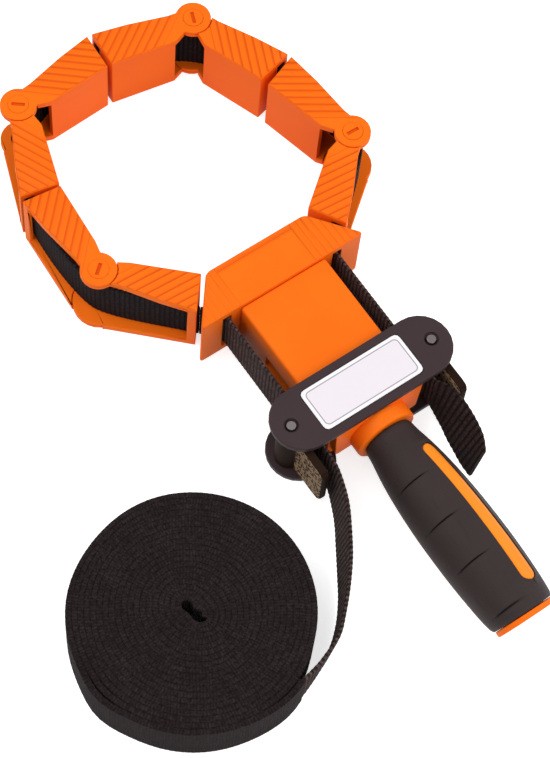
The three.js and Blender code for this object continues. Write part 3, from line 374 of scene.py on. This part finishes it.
# Free end: the strap's tail behind the right cam, cut across and bent by its own stiffness
tail_points = [(28, -14.8), (29.1, -19.6), (29.4, -26.1), (28.7, -32.5), (27.9, -38.8), (26.7, -44.8),
               (25.1, -50.7)]
tail_leans = [0, 9, 15, 18, 18, 16, 8]
tail_rib, tail_drop = 2.8, 2
shape, length = webbing(free_line(tail_points, tail_leans, strap_middle - tail_drop), tail_rib)
tail_piece = set_up(shape, "strap_end", "body", "webbing", ["strap_tail"],
                    webbing_finish("tail webbing", tail_rib, colour(20, 12, 12), colour(70, 54, 54),
                                   colour(98, 80, 78)))

# Strap beside the housing: it runs from under the crossbar, past the cams, forward into the jaw and out
# through the slots in the jaw's ends. It is taut. The ring's measures are here too, for its corner pieces.
strap_run_x, strap_run_start, strap_run_steps = 28, -14.3, 8
arm_length = 43.5
strap_line = 4.5
arm_mitre = radians(8)
gap_half = 1.15
held_end_gap, open_end_gap = 0.15, 0.8
jaw_gap_share = 0.462
jaw_front_half, jaw_rear_half = 25.3, 41.8
jaw_rear_y, jaw_front_y = 56.8, 77.8
arm_headings = {"rear_left": (-48.1, 91.1), "front_left": (-110.3, 5.3),
                "rear_right": (-139.8, 102), "front_right": (-68.4, 168.9)}
strap_insides = {"rear_left": -4.2, "front_left": 3.6, "rear_right": -3.8, "front_right": 4.6}
ring_sides = {"left": (1, ("rear_left", "front_left")), "right": (-1, ("rear_right", "front_right"))}


def heading(degrees):
    """The way that so many degrees points, seen from above."""
    return Vector((cos(radians(degrees)), sin(radians(degrees))))


def middle_heading(first, second):
    """The heading halfway between two others."""
    mean = heading(first) + heading(second)
    return atan2(mean.y, mean.x) / pi * 180


def jaw_gap(side):
    """The middle of the gap between the jaw's end and the first arm, where the strap crosses it."""
    end = Vector((jaw_front_half - jaw_rear_half, jaw_front_y - jaw_rear_y))
    run, end = end.length * jaw_gap_share, end.normalized()
    return Vector((-side * (jaw_rear_half + end.x * run + end.y * gap_half),
                   jaw_rear_y + end.y * run - end.x * gap_half))


def bezier(a, b, c, d, steps=48):
    """A strap's middle line from a to d, which b and c pull to their side."""
    line = []
    for k in range(steps + 1):
        t = k / steps
        spot = a * (1 - t) ** 3 + b * (3 * t * (1 - t) ** 2) + c * (3 * t * t * (1 - t)) + d * t ** 3
        line.append([spot.x, spot.y, strap_middle, 0])
    return line


for word, (side, corners) in ring_sides.items():
    way_out = heading(arm_headings[corners[0]][0] + 180)
    end = jaw_gap(side) - way_out * held_end_gap
    start = Vector((-side * strap_run_x, jaw_rear_y))
    reach = (end - start).length / 3
    line = []
    for k in range(strap_run_steps):
        y = strap_run_start + k / strap_run_steps * (jaw_rear_y - strap_run_start)
        line.append([-side * strap_run_x, y, strap_middle, 0])
    line += bezier(start, start + Vector((0, reach)), end - way_out * reach, end)
    shape, _ = webbing(line)
    set_up(shape, f"strap_to_the_jaw_{word}", "body", "webbing",
           [f"strap_run_{word}", f"strap_jaw_{word}"], strap_webbing)

# Strap in the corner pieces: one stretch through both arms of each, darker than the free strap: painted
# shade, for the shade inside the arms. It bends with the arms about the hinge pin, and ends short of the
# pivot where the ring is open.
shaded_arm_webbing = webbing_finish("shaded webbing", strap_rib, colour(14, 10, 11), colour(46, 38, 40),
                             colour(66, 58, 60))
arm_reach = arm_length + strap_line * tan(arm_mitre) + gap_half
bend_reach = 9


def arm_gap(direction, work):
    """From the hinge pin to where the strap crosses the gap at the arm's end."""
    along = heading(direction)
    return along * arm_reach - Vector((-along.y, along.x)) * work * strap_line


pins = {}
for corner in arm_headings:
    low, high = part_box(f"{corner}_top_pin")
    middle = (low + high) / 2
    pins[corner] = Vector((middle.x - tool_x, middle.y - tool_y)) / mm


def sideways(to_work, direction):
    """The way along the strap at the hinge pin, on the side to which the arm points."""
    across = Vector((-to_work.y, to_work.x))
    return across if across.dot(heading(direction)) > 0 else -across


# At each gap the strap's heading is halfway between those of the two arms that meet there
meeting = middle_heading(arm_headings["front_left"][1], arm_headings["front_right"][1] + 180)
for side, corners in ring_sides.values():
    for place, corner in enumerate(corners):
        near, far = arm_headings[corner]
        if place == 0:
            near_heading = near
            far_heading = middle_heading(far, arm_headings[corners[1]][0] + 180)
        else:
            near_heading = middle_heading(near, arm_headings[corners[0]][1] + 180)
            far_heading = meeting + (180 if side < 0 else 0)
        to_work = (heading(near) + heading(far)).normalized()
        middle = pins[corner] + to_work * strap_insides[corner]
        halves = []
        for direction, gap_heading, work in ((near, near_heading, side), (far, far_heading, -side)):
            leave, arrive = sideways(to_work, direction), heading(gap_heading)
            at_open_pivot = place == 1 and direction == far
            end = pins[corner] + arm_gap(direction, work)
            end -= arrive * (open_end_gap if at_open_pivot else held_end_gap)
            halves.append(bezier(middle, middle + leave * strap_line * 2, end - arrive * arm_length / 3, end))
        shape, _ = webbing(halves[0][::-1] + halves[1][1:])
        piece = set_up(shape, f"strap_in_{corner}_corner", None, "webbing",
                       [f"strap_{corner}_near", f"strap_{corner}_far"], shaded_arm_webbing)
        bend = Vector((tool_x, tool_y, strap_middle * mm)) + Vector((*middle, 0)) * mm
        away = Vector((*sideways(to_work, far), 0)) * bend_reach * mm
        start, end = bend - away, bend + away
        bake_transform(piece, f"{corner}_near_arm", f"{corner}_far_arm", start=start, end=end)

# Corner pieces: each is two arms of orange polypropylene, moulded with slanting saw-tooth ridges on top and
# hinged on slotted pins. The copies of the CAD shapes get the rounding that a mould leaves.
grain, given, out = new_group("moulded grain", {"Place": (0.0, 0.0, 0.0), "Fineness": 2400.0},
                              ["Height", "Cloud", "Scuff"])
fine = add_node(grain, "TexNoise", Vector=given["Place"], Scale=given["Fineness"], Detail=2.0).outputs[0]
cloud = add_node(grain, "TexNoise", Vector=given["Place"], Scale=38.0, Detail=3.0).outputs[0]
scratch_place = add_node(grain, "Mapping", Vector=given["Place"], Rotation=(0.0, 0.0, 0.6),
                         Scale=(900.0, 60.0, 400.0)).outputs[0]
scratch = add_node(grain, "TexNoise", Vector=scratch_place, Scale=1.0, Detail=2.0).outputs[0]
scuff = add_node(grain, "MapRange", Value=scratch, From_Min=0.62, From_Max=0.78).outputs[0]
for word, value in (("Height", fine), ("Cloud", cloud), ("Scuff", scuff)):
    grain.links.new(value, out.inputs[word])


def moulded_finish(name, base, other, roughness, relief=0.00004, fineness=2400.0, gloss=0.5, painted_shade=None):
    """A moulded surface. Where its mesh is marked for painted shade, it gets its darker colour, if it has
    one.
    """
    finish, tree, shader = new_finish(name, {"Specular IOR Level": gloss})
    place = add_node(tree, "TexCoord").outputs["Object"]
    worked = use_group(tree, grain, Place=place, Fineness=fineness)
    plain = mix_colours(tree, worked["Cloud"], base, other)
    if painted_shade:
        marked = add_node(tree, "Attribute", {"attribute_name": "painted_shade"}).outputs["Fac"]
        plain = mix_colours(tree, marked, plain, painted_shade)
    tree.links.new(plain, shader.inputs["Base Color"])
    rough = calc(tree, "MULTIPLY_ADD", worked["Cloud"], 0.1, roughness)
    tree.links.new(calc(tree, "MULTIPLY_ADD", worked["Scuff"], 0.12, rough), shader.inputs["Roughness"])
    add_relief(tree, shader, worked["Height"], relief)
    return finish


# Its darker colour is painted shade, for the grooves of the ridges, the pin slots and the jaw's lip
orange = moulded_finish("orange plastic", colour(250, 108, 14), colour(255, 119, 18), 0.45, gloss=0.1,
                        painted_shade=colour(226, 82, 8))


def rounded_copy(node, radius=0.4, sharp=30, segments=3):
    """A CAD piece's shape with its sharp edges rounded."""
    shape = bmesh.new()
    shape.from_mesh(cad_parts[node].data)
    bmesh.ops.remove_doubles(shape, verts=shape.verts, dist=1e-6)
    bmesh.ops.dissolve_limit(shape, angle_limit=radians(1), verts=shape.verts, edges=shape.edges)
    corners = [e for e in shape.edges if len(e.link_faces) == 2 and e.calc_face_angle(0) > radians(sharp)]
    bmesh.ops.bevel(shape, geom=corners, offset=radius * mm, offset_type="OFFSET", segments=segments,
                    profile=0.5, affect="EDGES", material=-1, clamp_overlap=False)
    return shape


ring_height = 33 * mm
same_height = 2e-6
# A tooth's third share is how much painted shade it gets: a darker colour down its step
tooth_shares = [(0, 1, 0), (0.6, 0.3, 0.12), (0.85, 0, 1), (0.93, 0.4, 0.7)]


def press(shape, origin, across, first, teeth, pitch, rise):
    """Moulds slanting teeth into the ring's top flat: cuts it across, lifts the crests and marks the grooves
    for painted shade. A tooth's shares are its place along the pitch, its height and how much painted shade
    it gets. The first tooth starts flat, so the cuts before its rise are left out."""
    across = Vector(across).normalized()
    painted_shade = shape.verts.layers.float.get("painted_shade") or shape.verts.layers.float.new("painted_shade")
    cuts = [(first + (k + part) * pitch, up * rise, mark) for k in range(-1, teeth)
            for part, up, mark in tooth_shares][2:]
    cuts[0] = (cuts[0][0], 0, 0)
    for place, _, _ in cuts:
        flat = [f for f in shape.faces if all(abs(v.co.z - ring_height) < same_height for v in f.verts)]
        flat = flat + list({e for f in flat for e in f.edges}) + list({v for f in flat for v in f.verts})
        bmesh.ops.bisect_plane(shape, geom=flat, dist=1e-7, plane_co=origin + across * place, plane_no=across)
    far = 1
    ends = [(-far, 0, 0)] + cuts + [(first + teeth * pitch, rise, 0), (far, rise, 0)]
    for vert in shape.verts:
        if abs(vert.co.z - ring_height) < same_height:
            place = (vert.co - origin).dot(across)
            for (a, up_a, shade_a), (b, up_b, shade_b) in zip(ends, ends[1:]):
                if a <= place < b:
                    share = (place - a) / (b - a)
                    vert.co.z += up_a + (up_b - up_a) * share
                    vert[painted_shade] = shade_a + (shade_b - shade_a) * share
                    break


ridge_pitch, ridge_rise, ridge_first, ridge_count = 3.5 * mm, 0.45 * mm, 6.8 * mm, 12


def fair(piece):
    """Keeps the flats flat beside their rounded edges."""
    normals = piece.modifiers.new("even shading", "WEIGHTED_NORMAL")
    normals.weight, normals.keep_sharp = 50, True
    return piece


slot_half_length, slot_half_width, slot_depth = 2.9 * mm, 0.8 * mm, 0.7 * mm


def slotted_disc(radius, height):
    """A pin's head with a screwdriver slot in its top, which lies at height zero."""
    shape = bmesh.new()
    painted_shade = shape.verts.layers.float.new("painted_shade")
    bmesh.ops.create_circle(shape, cap_ends=True, segments=48, radius=radius)
    for way, half in (((1, 0, 0), slot_half_length), ((-1, 0, 0), slot_half_length),
                      ((0, 1, 0), slot_half_width), ((0, -1, 0), slot_half_width)):
        bmesh.ops.bisect_plane(shape, geom=shape.verts[:] + shape.edges[:] + shape.faces[:], dist=1e-7,
                               plane_co=Vector(way) * half, plane_no=way)
    slot = [f for f in shape.faces if abs(f.calc_center_median().x) < slot_half_length
            and abs(f.calc_center_median().y) < slot_half_width]
    pushed = bmesh.ops.extrude_face_region(shape, geom=slot)["geom"]
    for vert in [v for v in pushed if isinstance(v, bmesh.types.BMVert)]:
        vert.co.z -= slot_depth
        # The slot's floor is marked for painted shade
        vert[painted_shade] = 1
    bmesh.ops.delete(shape, geom=slot, context="FACES")
    wall = bmesh.ops.extrude_edge_only(shape, edges=[e for e in shape.edges if e.is_boundary])["geom"]
    for vert in [v for v in wall if isinstance(v, bmesh.types.BMVert)]:
        vert.co.z -= height
    bmesh.ops.holes_fill(shape, edges=[e for e in shape.edges if e.is_boundary], sides=0)
    return shape


pin_spread = 1.06
pin_turns = {"rear_left": 39.2, "front_left": 142.8, "front_right": 69.1, "rear_right": 178.4}
for word, (side, corners) in ring_sides.items():
    for corner in corners:
        pin = tool_origin + Vector((*pins[corner], 0)) * mm
        for name, direction, work in (("near", arm_headings[corner][0], side),
                                      ("far", arm_headings[corner][1], -side)):
            along = Vector((*heading(direction), 0))
            inward = Vector((-along.y, along.x, 0)) * work
            shape = rounded_copy(f"{corner}_{name}_arm")
            press(shape, pin, along - inward, ridge_first, ridge_count, ridge_pitch, ridge_rise)
            fair(set_up(shape, f"{corner}_{name}_moulding", f"{corner}_{name}_arm", "orange_plastic",
                        [f"{corner}_{name}_arm"], orange))
        for level_word, up in (("top", 1), ("bottom", -1)):
            low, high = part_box(f"{corner}_{level_word}_pin")
            shape = slotted_disc((high.x - low.x) / 2 * pin_spread, high.z - low.z)
            outside = high.z if up > 0 else low.z
            seat = Matrix.Translation(((low.x + high.x) / 2, (low.y + high.y) / 2, outside))
            turn = Matrix.Rotation(radians(pin_turns[corner]), 4, "Z")
            bmesh.ops.transform(shape, verts=shape.verts, matrix=seat @ turn @ Matrix.Diagonal((1, 1, up, 1)))
            bmesh.ops.recalc_face_normals(shape, faces=shape.faces)
            fair(set_up(shape, f"{corner}_{level_word}_hinge_pin", f"{corner}_far_arm", "orange_plastic",
                        [f"{corner}_{level_word}_pin"], orange))

# Jaw: a hollow moulding of the same orange plastic. Its top has ridges across both ends, a smooth middle and
# a low lip along the front edge, which bears on the work.
shape = rounded_copy("front_jaw", 0.5)
jaw_ridge_pitch, jaw_ridge_rise, jaw_ridge_count = 3.1 * mm, 0.4 * mm, 7
# Each ridge's groove and the step behind the front lip are marked for painted shade
for across, first in (((1, 0, 0), 17.2 * mm), ((-1, 0, 0), 21.8 * mm)):
    press(shape, tool_origin, across, first, jaw_ridge_count, jaw_ridge_pitch, jaw_ridge_rise)
lip_start, lip_step, lip_rise = (jaw_front_y - 3.4) * mm, 0.8 * mm, 0.25 * mm
press(shape, tool_origin, (0, 1, 0), lip_start, 1, lip_step, lip_rise)
fair(set_up(shape, "jaw_moulding", "body", "orange_plastic", ["front_jaw"], orange))

# Housing and collar: a smooth box behind the jaw with slots for the nut's arms, and a round nose on a flange
# that holds the spindle. Both are orange plastic.
for node, name, radius in (("body_housing", "housing_moulding", 0.5),
                           ("rear_collar", "collar_moulding", 0.35)):
    fair(set_up(rounded_copy(node, radius), name, "body", "orange_plastic", [node], orange))

# Crossbar: two plates of black glass-filled nylon, joined by steel posts. The lever rivets are blackened
# steel with low domed heads, set a little deep.
black = moulded_finish("black plastic", colour(46, 32, 35), colour(58, 42, 45), 0.5, relief=0.0001,
                       fineness=1800.0, gloss=0.22)
for node, name in (("crossbar_top_plate", "crossbar_upper_plate"),
                   ("crossbar_bottom_plate", "crossbar_lower_plate")):
    fair(set_up(rounded_copy(node, 0.5), name, "crossbar", "black_plastic", [node], black))
blackened = moulded_finish("blackened steel", colour(92, 84, 84), colour(120, 112, 110), 0.34, relief=0.00005,
                           fineness=2000.0)
blackened.node_tree.nodes["Principled BSDF"].inputs["Metallic"].default_value = 0.5
rivet_share = 0.84
for word in ("left", "right"):
    shape = rounded_copy(f"lever_rivet_{word}", 0.5)
    low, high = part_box(f"lever_rivet_{word}")
    bmesh.ops.scale(shape, vec=(rivet_share, rivet_share, 1), verts=shape.verts,
                    space=Matrix.Translation(-(low + high) / 2))
    fair(set_up(shape, f"lever_rivet_{word}_head", "crossbar", "steel", [f"lever_rivet_{word}"], blackened))

# Label: a bare plate of white plastic, let into the crossbar, with a fine grey line printed round its edge
label_half_x, label_half_y = 25 * mm, 10.1 * mm
line_inset, line_half, line_corner = 1.7 * mm, 0.16 * mm, 2 * mm
ruled, given, out = new_group("ruled border", {"Place": (0.0, 0.0, 0.0)}, ["Line", "Inside"])
parts = add_node(ruled, "SeparateXYZ", Vector=given["Place"]).outputs
beyond = [calc(ruled, "SUBTRACT", calc(ruled, "ABSOLUTE", parts[i]), half - line_inset - line_corner)
          for i, half in ((0, label_half_x), (1, label_half_y))]
outer = [calc(ruled, "POWER", calc(ruled, "MAXIMUM", part, 0.0), 2.0) for part in beyond]
distance = calc(ruled, "SUBTRACT", calc(ruled, "ADD", calc(ruled, "SQRT", calc(ruled, "ADD", *outer)),
                calc(ruled, "MINIMUM", calc(ruled, "MAXIMUM", *beyond), 0.0)), line_corner)
line_mask = add_node(ruled, "MapRange", Value=calc(ruled, "ABSOLUTE", distance), From_Min=line_half,
                     From_Max=2 * line_half, To_Min=1.0, To_Max=0.0).outputs[0]
ruled.links.new(line_mask, out.inputs["Line"])
ruled.links.new(calc(ruled, "LESS_THAN", distance, 0.0), out.inputs["Inside"])

white, tree, shader = new_finish("white plastic", {"Specular IOR Level": 0.3})
place = add_node(tree, "TexCoord").outputs["Object"]
centred = add_node(tree, "Mapping", Vector=place, Location=(-tool_x, -tool_y, 0.0)).outputs[0]
border = use_group(tree, ruled, Place=centred)
worked = use_group(tree, grain, Place=place, Fineness=1600.0)
sheet_white = mix_colours(tree, border["Inside"], colour(244, 242, 245), colour(236, 228, 235))
printed = calc(tree, "MULTIPLY", border["Line"], 0.75)
tree.links.new(mix_colours(tree, printed, sheet_white, colour(120, 112, 120)), shader.inputs["Base Color"])
tree.links.new(calc(tree, "MULTIPLY_ADD", worked["Cloud"], 0.15, 0.3), shader.inputs["Roughness"])
add_relief(tree, shader, worked["Height"], 0.00003)
fair(set_up(rounded_copy("label_plate", 0.15), "label_panel", "crossbar", "white_plastic", ["label_plate"],
            white))

# Cam levers: black nylon too. Each has a round cam that pinches the strap, and a tab whose two flat sides are
# knurled for the finger, with pale brown dots on the knurl's raised points.
knurled, tree, shader = new_finish("knurled black plastic", {"Specular IOR Level": 0.05})
place = add_node(tree, "TexCoord").outputs["Object"]
parts = add_node(tree, "SeparateXYZ", Vector=place).outputs
knurl_pitch = 1.5 * mm
waves = [calc(tree, "SINE", calc(tree, "MULTIPLY", calc(tree, word, parts[1], parts[2]), tau / knurl_pitch))
         for word in ("ADD", "SUBTRACT")]
knurl = calc(tree, "MULTIPLY_ADD", calc(tree, "MAXIMUM", *waves), 0.5, 0.5)
worked = use_group(tree, grain, Place=place, Fineness=1500.0)
dots = add_node(tree, "TexVoronoi", Vector=place, Scale=600.0, Randomness=0.7).outputs["Distance"]
dots = add_node(tree, "MapRange", Value=dots, From_Min=0.34, From_Max=0.56).outputs[0]
pits = calc(tree, "MULTIPLY", calc(tree, "MULTIPLY_ADD", knurl, 0.5, 0.5), dots)
pale_knurl_dots = mix_colours(tree, pits, colour(28, 20, 15), colour(182, 148, 114))
tree.links.new(pale_knurl_dots, shader.inputs["Base Color"])
tree.links.new(calc(tree, "MULTIPLY_ADD", worked["Cloud"], 0.2, 0.5), shader.inputs["Roughness"])
add_relief(tree, shader, pits, 0.0005)
lever_black = moulded_finish("worn black plastic", colour(30, 19, 13), colour(46, 31, 23), 0.55,
                             relief=0.0001, fineness=1800.0, gloss=0.03)
tab_start = 9 * mm
for word in ("left", "right"):
    shape = rounded_copy(f"cam_lever_{word}", 0.6)
    for face in shape.faces:
        if abs(face.normal.x) > 0.9 and face.calc_center_median().y < tool_y - tab_start:
            face.material_index = 1
    fair(set_up(shape, f"cam_lever_{word}_moulding", f"{word}_lever", "black_plastic", [f"cam_lever_{word}"],
                lever_black, knurled))

# Drive: spindle, washer, nut with its two arms, posts and screws are bright turned steel
steel = moulded_finish("steel", colour(150, 150, 148), colour(170, 170, 168), 0.3)
steel.node_tree.nodes["Principled BSDF"].inputs["Metallic"].default_value = 1
for node in ("drive_spindle", "thrust_washer", "travelling_nut", "jaw_screw_left", "jaw_screw_right",
             "trunnion_left", "trunnion_right", "crossbar_post_left", "crossbar_post_right"):
    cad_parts[node].material_slots[0].material = steel

# Handle grip: soft black rubber moulded over a plastic core, with four shallow finger lines on one side and a
# low rim round the two long inlays. Its rear end leans.
grip_front, grip_rear, grip_round, grip_bore = -20.9, -114.5, 16.4, 8.9
grip_radius_shares = [0.701, 0.726, 0.829, 0.915, 0.982, 1, 0.985, 0.939, 0.89, 0.85]
grip_place_shares = [0, 0.05, 0.15, 0.27, 0.44, 0.62, 0.76, 0.9, 0.975, 1]
grip_end_angle = radians(12)
axis_height = 17.3
inlay_angles = [radians(32), radians(212)]
inlay_start, inlay_end, inlay_front_half, inlay_rear_half = -35.4, -107.1, 3.2, 3.8
finger_lines = (-46.5, -67.5, -88, -110.5)
finger_middle, finger_spread, finger_depth, finger_width = radians(-33), radians(33), 0.8, 0.28
fit = 0.3
grip_points = [(share * grip_round, grip_front + place * (grip_rear - grip_front))
               for share, place in zip(grip_radius_shares, grip_place_shares)]
grip_line = [spot for spot, _ in smooth_line(grip_points, 400)]


def grip_radius(y):
    """The grip's radius at y, from its smooth outline."""
    for (r0, y0), (r1, y1) in zip(grip_line, grip_line[1:]):
        if y >= y1:
            return r0 + (r1 - r0) * min(max((y - y0) / (y1 - y0), 0), 1)
    return grip_line[-1][0]


def inlay_half(y, grow):
    """Half the inlay's width at y, with its round ends, or nothing beyond them."""
    front, rear = inlay_front_half + grow, inlay_rear_half + grow
    start, end = inlay_start + grow, inlay_end - grow
    half = front + (rear - front) * (start - y) / (start - end)
    for radius, centre, beyond in ((front, start - front, y > start - front),
                                   (rear, end + rear, y < end + rear)):
        if beyond:
            half = sqrt(max(radius * radius - (y - centre) ** 2, 0))
    return half


def on_handle(angle, radius, y):
    """A point round the handle's axis. Near the rear end it leans back at the top."""
    height = radius * cos(angle)
    lean_start = inlay_end - 0.6
    ease = min(max((lean_start - y) / (lean_start - grip_rear), 0), 1)
    place = Vector((radius * sin(angle), y - height * tan(grip_end_angle) * ease, axis_height + height))
    return tool_origin + place * mm


def finger_line(angle, y):
    """How deep the nearest finger line is here."""
    across = max(1 - ((angle - finger_middle) / finger_spread) ** 4, 0)
    return finger_depth * across * max(exp(-((y - line) / finger_width) ** 2) for line in finger_lines)


# The skin is a net of rows along the handle, closer at the finger lines and the inlays' ends, and of columns
# round it. Each inlay has nine columns: four on each side of its middle, for its seat's wall and the rim.
even_rows, line_step, end_step, edge_round = 62, 0.22, 0.35, 0.3
rows = {round(grip_front + (grip_rear - grip_front) * k / even_rows, 2) for k in range(even_rows + 1)}
rows |= {round(line + k * line_step, 2) for line in finger_lines for k in range(-5, 6)}
rows |= {round(inlay_start + fit - k * end_step, 2) for k in range(-3, 13)}
rows |= {round(inlay_end - fit + k * end_step, 2) for k in range(-3, 13)}
rows = sorted(rows, reverse=True)
loops = [("bore", grip_bore, grip_front), ("rim", grip_radius(grip_front) - 0.5, grip_front)]
loops += [("skin", grip_radius(y), y) for y in rows if grip_rear + edge_round < y < grip_front - edge_round]
loops.append(("rim", grip_radius(grip_rear) - 0.1, grip_rear + 0.25))
loops.append(("rim", grip_radius(grip_rear) - 0.45, grip_rear))
loops += [("bore", grip_bore, grip_rear), ("bore", grip_bore, grip_front)]
least_half, rim_rise, seat_depth, seat_middle_depth = 0.5, 0.3, 1.3, 1.5
rim_offsets = (1.6, 0.7, 0.1, 0)
swell, swell_back, swell_length = 0.9, 1.5, 2.2
inlay_columns, free_columns = 9, 16
middle_column, rim_columns, rim_reach = 4, (1, 2, 6, 7), 2
half_columns = inlay_columns + free_columns
shape, points = tube_net(half_columns * len(inlay_angles), len(loops) - 1, "painted_shade")
painted_shade = shape.verts.layers.float["painted_shade"]
for vert, column, row in points:
    kind, radius, y = loops[row]
    k, step = divmod(column, half_columns)
    half = max(inlay_half(y, fit), least_half)
    inside = inlay_half(y, fit) > least_half
    sides = [-half - offset for offset in rim_offsets] + [0] + [half + offset for offset in rim_offsets[::-1]]
    spread = [asin(side / radius) for side in sides]
    if step < inlay_columns:
        angle = inlay_angles[k] + spread[step]
    else:
        free = pi - spread[-1] + spread[0]
        angle = inlay_angles[k] + spread[-1] + free * (step - inlay_columns + 1) / (free_columns + 1)
    if kind == "skin":
        turn = (angle + pi) % tau - pi
        radius -= finger_line(turn, y)
        # The finger lines are also marked for painted shade: a near-black colour in their grooves
        vert[painted_shade] = finger_line(turn, y) / finger_depth
        if step in rim_columns and inlay_end - rim_reach < y < inlay_start + rim_reach:
            radius += rim_rise
        if step < inlay_columns:
            radius += swell * exp(-((y - inlay_start - swell_back) / swell_length) ** 2)
        if inside and abs(step - middle_column) <= 1:
            radius -= seat_middle_depth if step == middle_column else seat_depth
    vert.co = on_handle(angle, radius, y)
close_net(shape)
# The rubber's near-black marked colour is painted shade in the finger lines
rubber = moulded_finish("grip rubber", colour(36, 26, 25), colour(52, 40, 39), 0.6, relief=0.00014,
                        fineness=1100.0, gloss=0.25, painted_shade=colour(12, 8, 8))
set_up(shape, "rubber_grip", "handle", "grip_rubber", ["handle_grip"], rubber)

# Handle inlays: two long strips of orange plastic with domed tops, pressed into the rubber
inlay_section = [(-1, -1.35), (-1, -0.1), (-0.86, 0.16), (-0.5, 0.3), (0, 0.36), (0.5, 0.3), (0.86, 0.16),
                 (1, -0.1), (1, -1.35), (0, -1.35)]
# The inlays' orange is more yellow than the mouldings' and also lighter: the lightness is painted light, for
# the light that falls on the inlays from the right
lit_inlay_orange = moulded_finish("light orange plastic", colour(255, 138, 24), colour(255, 148, 32), 0.42,
                              gloss=0.2)
inlay_rows, least_inlay_half, full_dome_half = 90, 0.3, 1.6
for k, middle in enumerate(inlay_angles):
    shape, points = tube_net(len(inlay_section), inlay_rows)
    for vert, column, row in points:
        side, rise = inlay_section[column]
        y = inlay_start + (inlay_end - inlay_start) * (0.5 - 0.5 * cos(row / inlay_rows * pi))
        half = max(inlay_half(y, 0), least_inlay_half)
        dome_share = min(half / full_dome_half, 1)
        radius = grip_radius(y) + (rise * dome_share if rise > 0 else rise)
        vert.co = on_handle(middle + asin(side * half / radius), radius, y)
    close_net(shape)
    set_up(shape, f"orange_inlay_{k + 1}", "handle", "orange_plastic", [f"handle_inlay_{k + 1}"],
           lit_inlay_orange)

# Handle end: an orange cap with a shallow dish, whose plug sits in the black core
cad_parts["handle_core"].material_slots[0].material = black
cap_profile = [(0, 2.5), (5.2, 2.5), (5.2, -0.3), (13.1, -0.3), (13.4, -0.55), (13.4, -2.2), (13.2, -2.6),
               (12.8, -2.8), (10.4, -2.8), (10, -2.6), (9.8, -2.3), (0, -2.3)]
shape = bmesh.new()
spots = [shape.verts.new((r * mm, 0, z * mm)) for r, z in cap_profile]
edges = [shape.edges.new(pair) for pair in zip(spots, spots[1:])]
bmesh.ops.spin(shape, geom=spots + edges, cent=(0, 0, 0), axis=(0, 0, 1), dvec=(0, 0, 0), angle=tau, steps=72,
               use_merge=True)
bmesh.ops.remove_doubles(shape, verts=shape.verts, dist=1e-6)
seat = Matrix.Translation((tool_x, tool_y + grip_rear * mm, axis_height * mm))
turn = Matrix.Rotation(grip_end_angle - pi / 2, 4, "X")
bmesh.ops.transform(shape, matrix=seat @ turn, verts=shape.verts)
bmesh.ops.recalc_face_normals(shape, faces=shape.faces)
set_up(shape, "end_cap", "handle", "orange_plastic", ["handle_end_cap"], orange)

# Floor: a plain pale sheet, on which the clamp lies
floor_shape = bmesh.new()
bmesh.ops.create_grid(floor_shape, x_segments=1, y_segments=1, size=3)
floor_mesh = bpy.data.meshes.new("floor")
floor_shape.to_mesh(floor_mesh)
floor_shape.free()
floor_piece = bpy.data.objects.new("floor", floor_mesh)
bpy.context.scene.collection.objects.link(floor_piece)
floor_finish, tree, shader = new_finish("pale floor", {"Roughness": 0.9, "Specular IOR Level": 0.1})
shader.inputs["Base Color"].default_value = (0.8, 0.8, 0.8, 1)


def seen_share(tree):
    """One for a ray that comes from the camera, straight or by way of a shiny or clear surface, else zero."""
    rays = add_node(tree, "LightPath").outputs
    direct = calc(tree, "MAXIMUM", rays["Is Camera Ray"], rays["Is Glossy Ray"])
    return calc(tree, "MAXIMUM", direct, rays["Is Transmission Ray"])


floor_glow = 0.7
glow_strength = calc(tree, "MULTIPLY", seen_share(tree), floor_glow)
glow = add_node(tree, "Emission", Color=(1.0, 1.0, 1.0, 1.0), Strength=glow_strength)
both = tree.nodes.new("ShaderNodeAddShader")
tree.links.new(shader.outputs[0], both.inputs[0])
tree.links.new(glow.outputs[0], both.inputs[1])
tree.links.new(both.outputs[0], tree.nodes["Material Output"].inputs[0])
floor_mesh.materials.append(floor_finish)

# Light: an even pale room, a large soft lamp from the front left, and weaker ones from behind and the right
world = bpy.data.worlds.new("studio")
bpy.context.scene.world = world
world.use_nodes = True
tree = world.node_tree
sky = tree.nodes["Background"]
sky.inputs["Color"].default_value = (1, 1, 1, 1)
room_light = 0.42
sky_strength = calc(tree, "MULTIPLY_ADD", seen_share(tree), 1 - room_light, room_light)
tree.links.new(sky_strength, sky.inputs["Strength"])

for name, spot, size, power in (("key light", (-0.7, 0.5, 1.5), 1.2, 13),
                                ("fill light", (0.1, -1.3, 0.9), 1.4, 9),
                                ("side light", (1.2, -0.3, 1.0), 1.0, 8)):
    lamp = bpy.data.lights.new(name, "AREA")
    lamp.size, lamp.energy = size, power
    light = bpy.data.objects.new(name, lamp)
    light.location = spot
    light.rotation_euler = Vector(spot).to_track_quat("Z", "Y").to_euler()
    bpy.context.scene.collection.objects.link(light)

bpy.context.scene.view_settings.view_transform = "Standard"
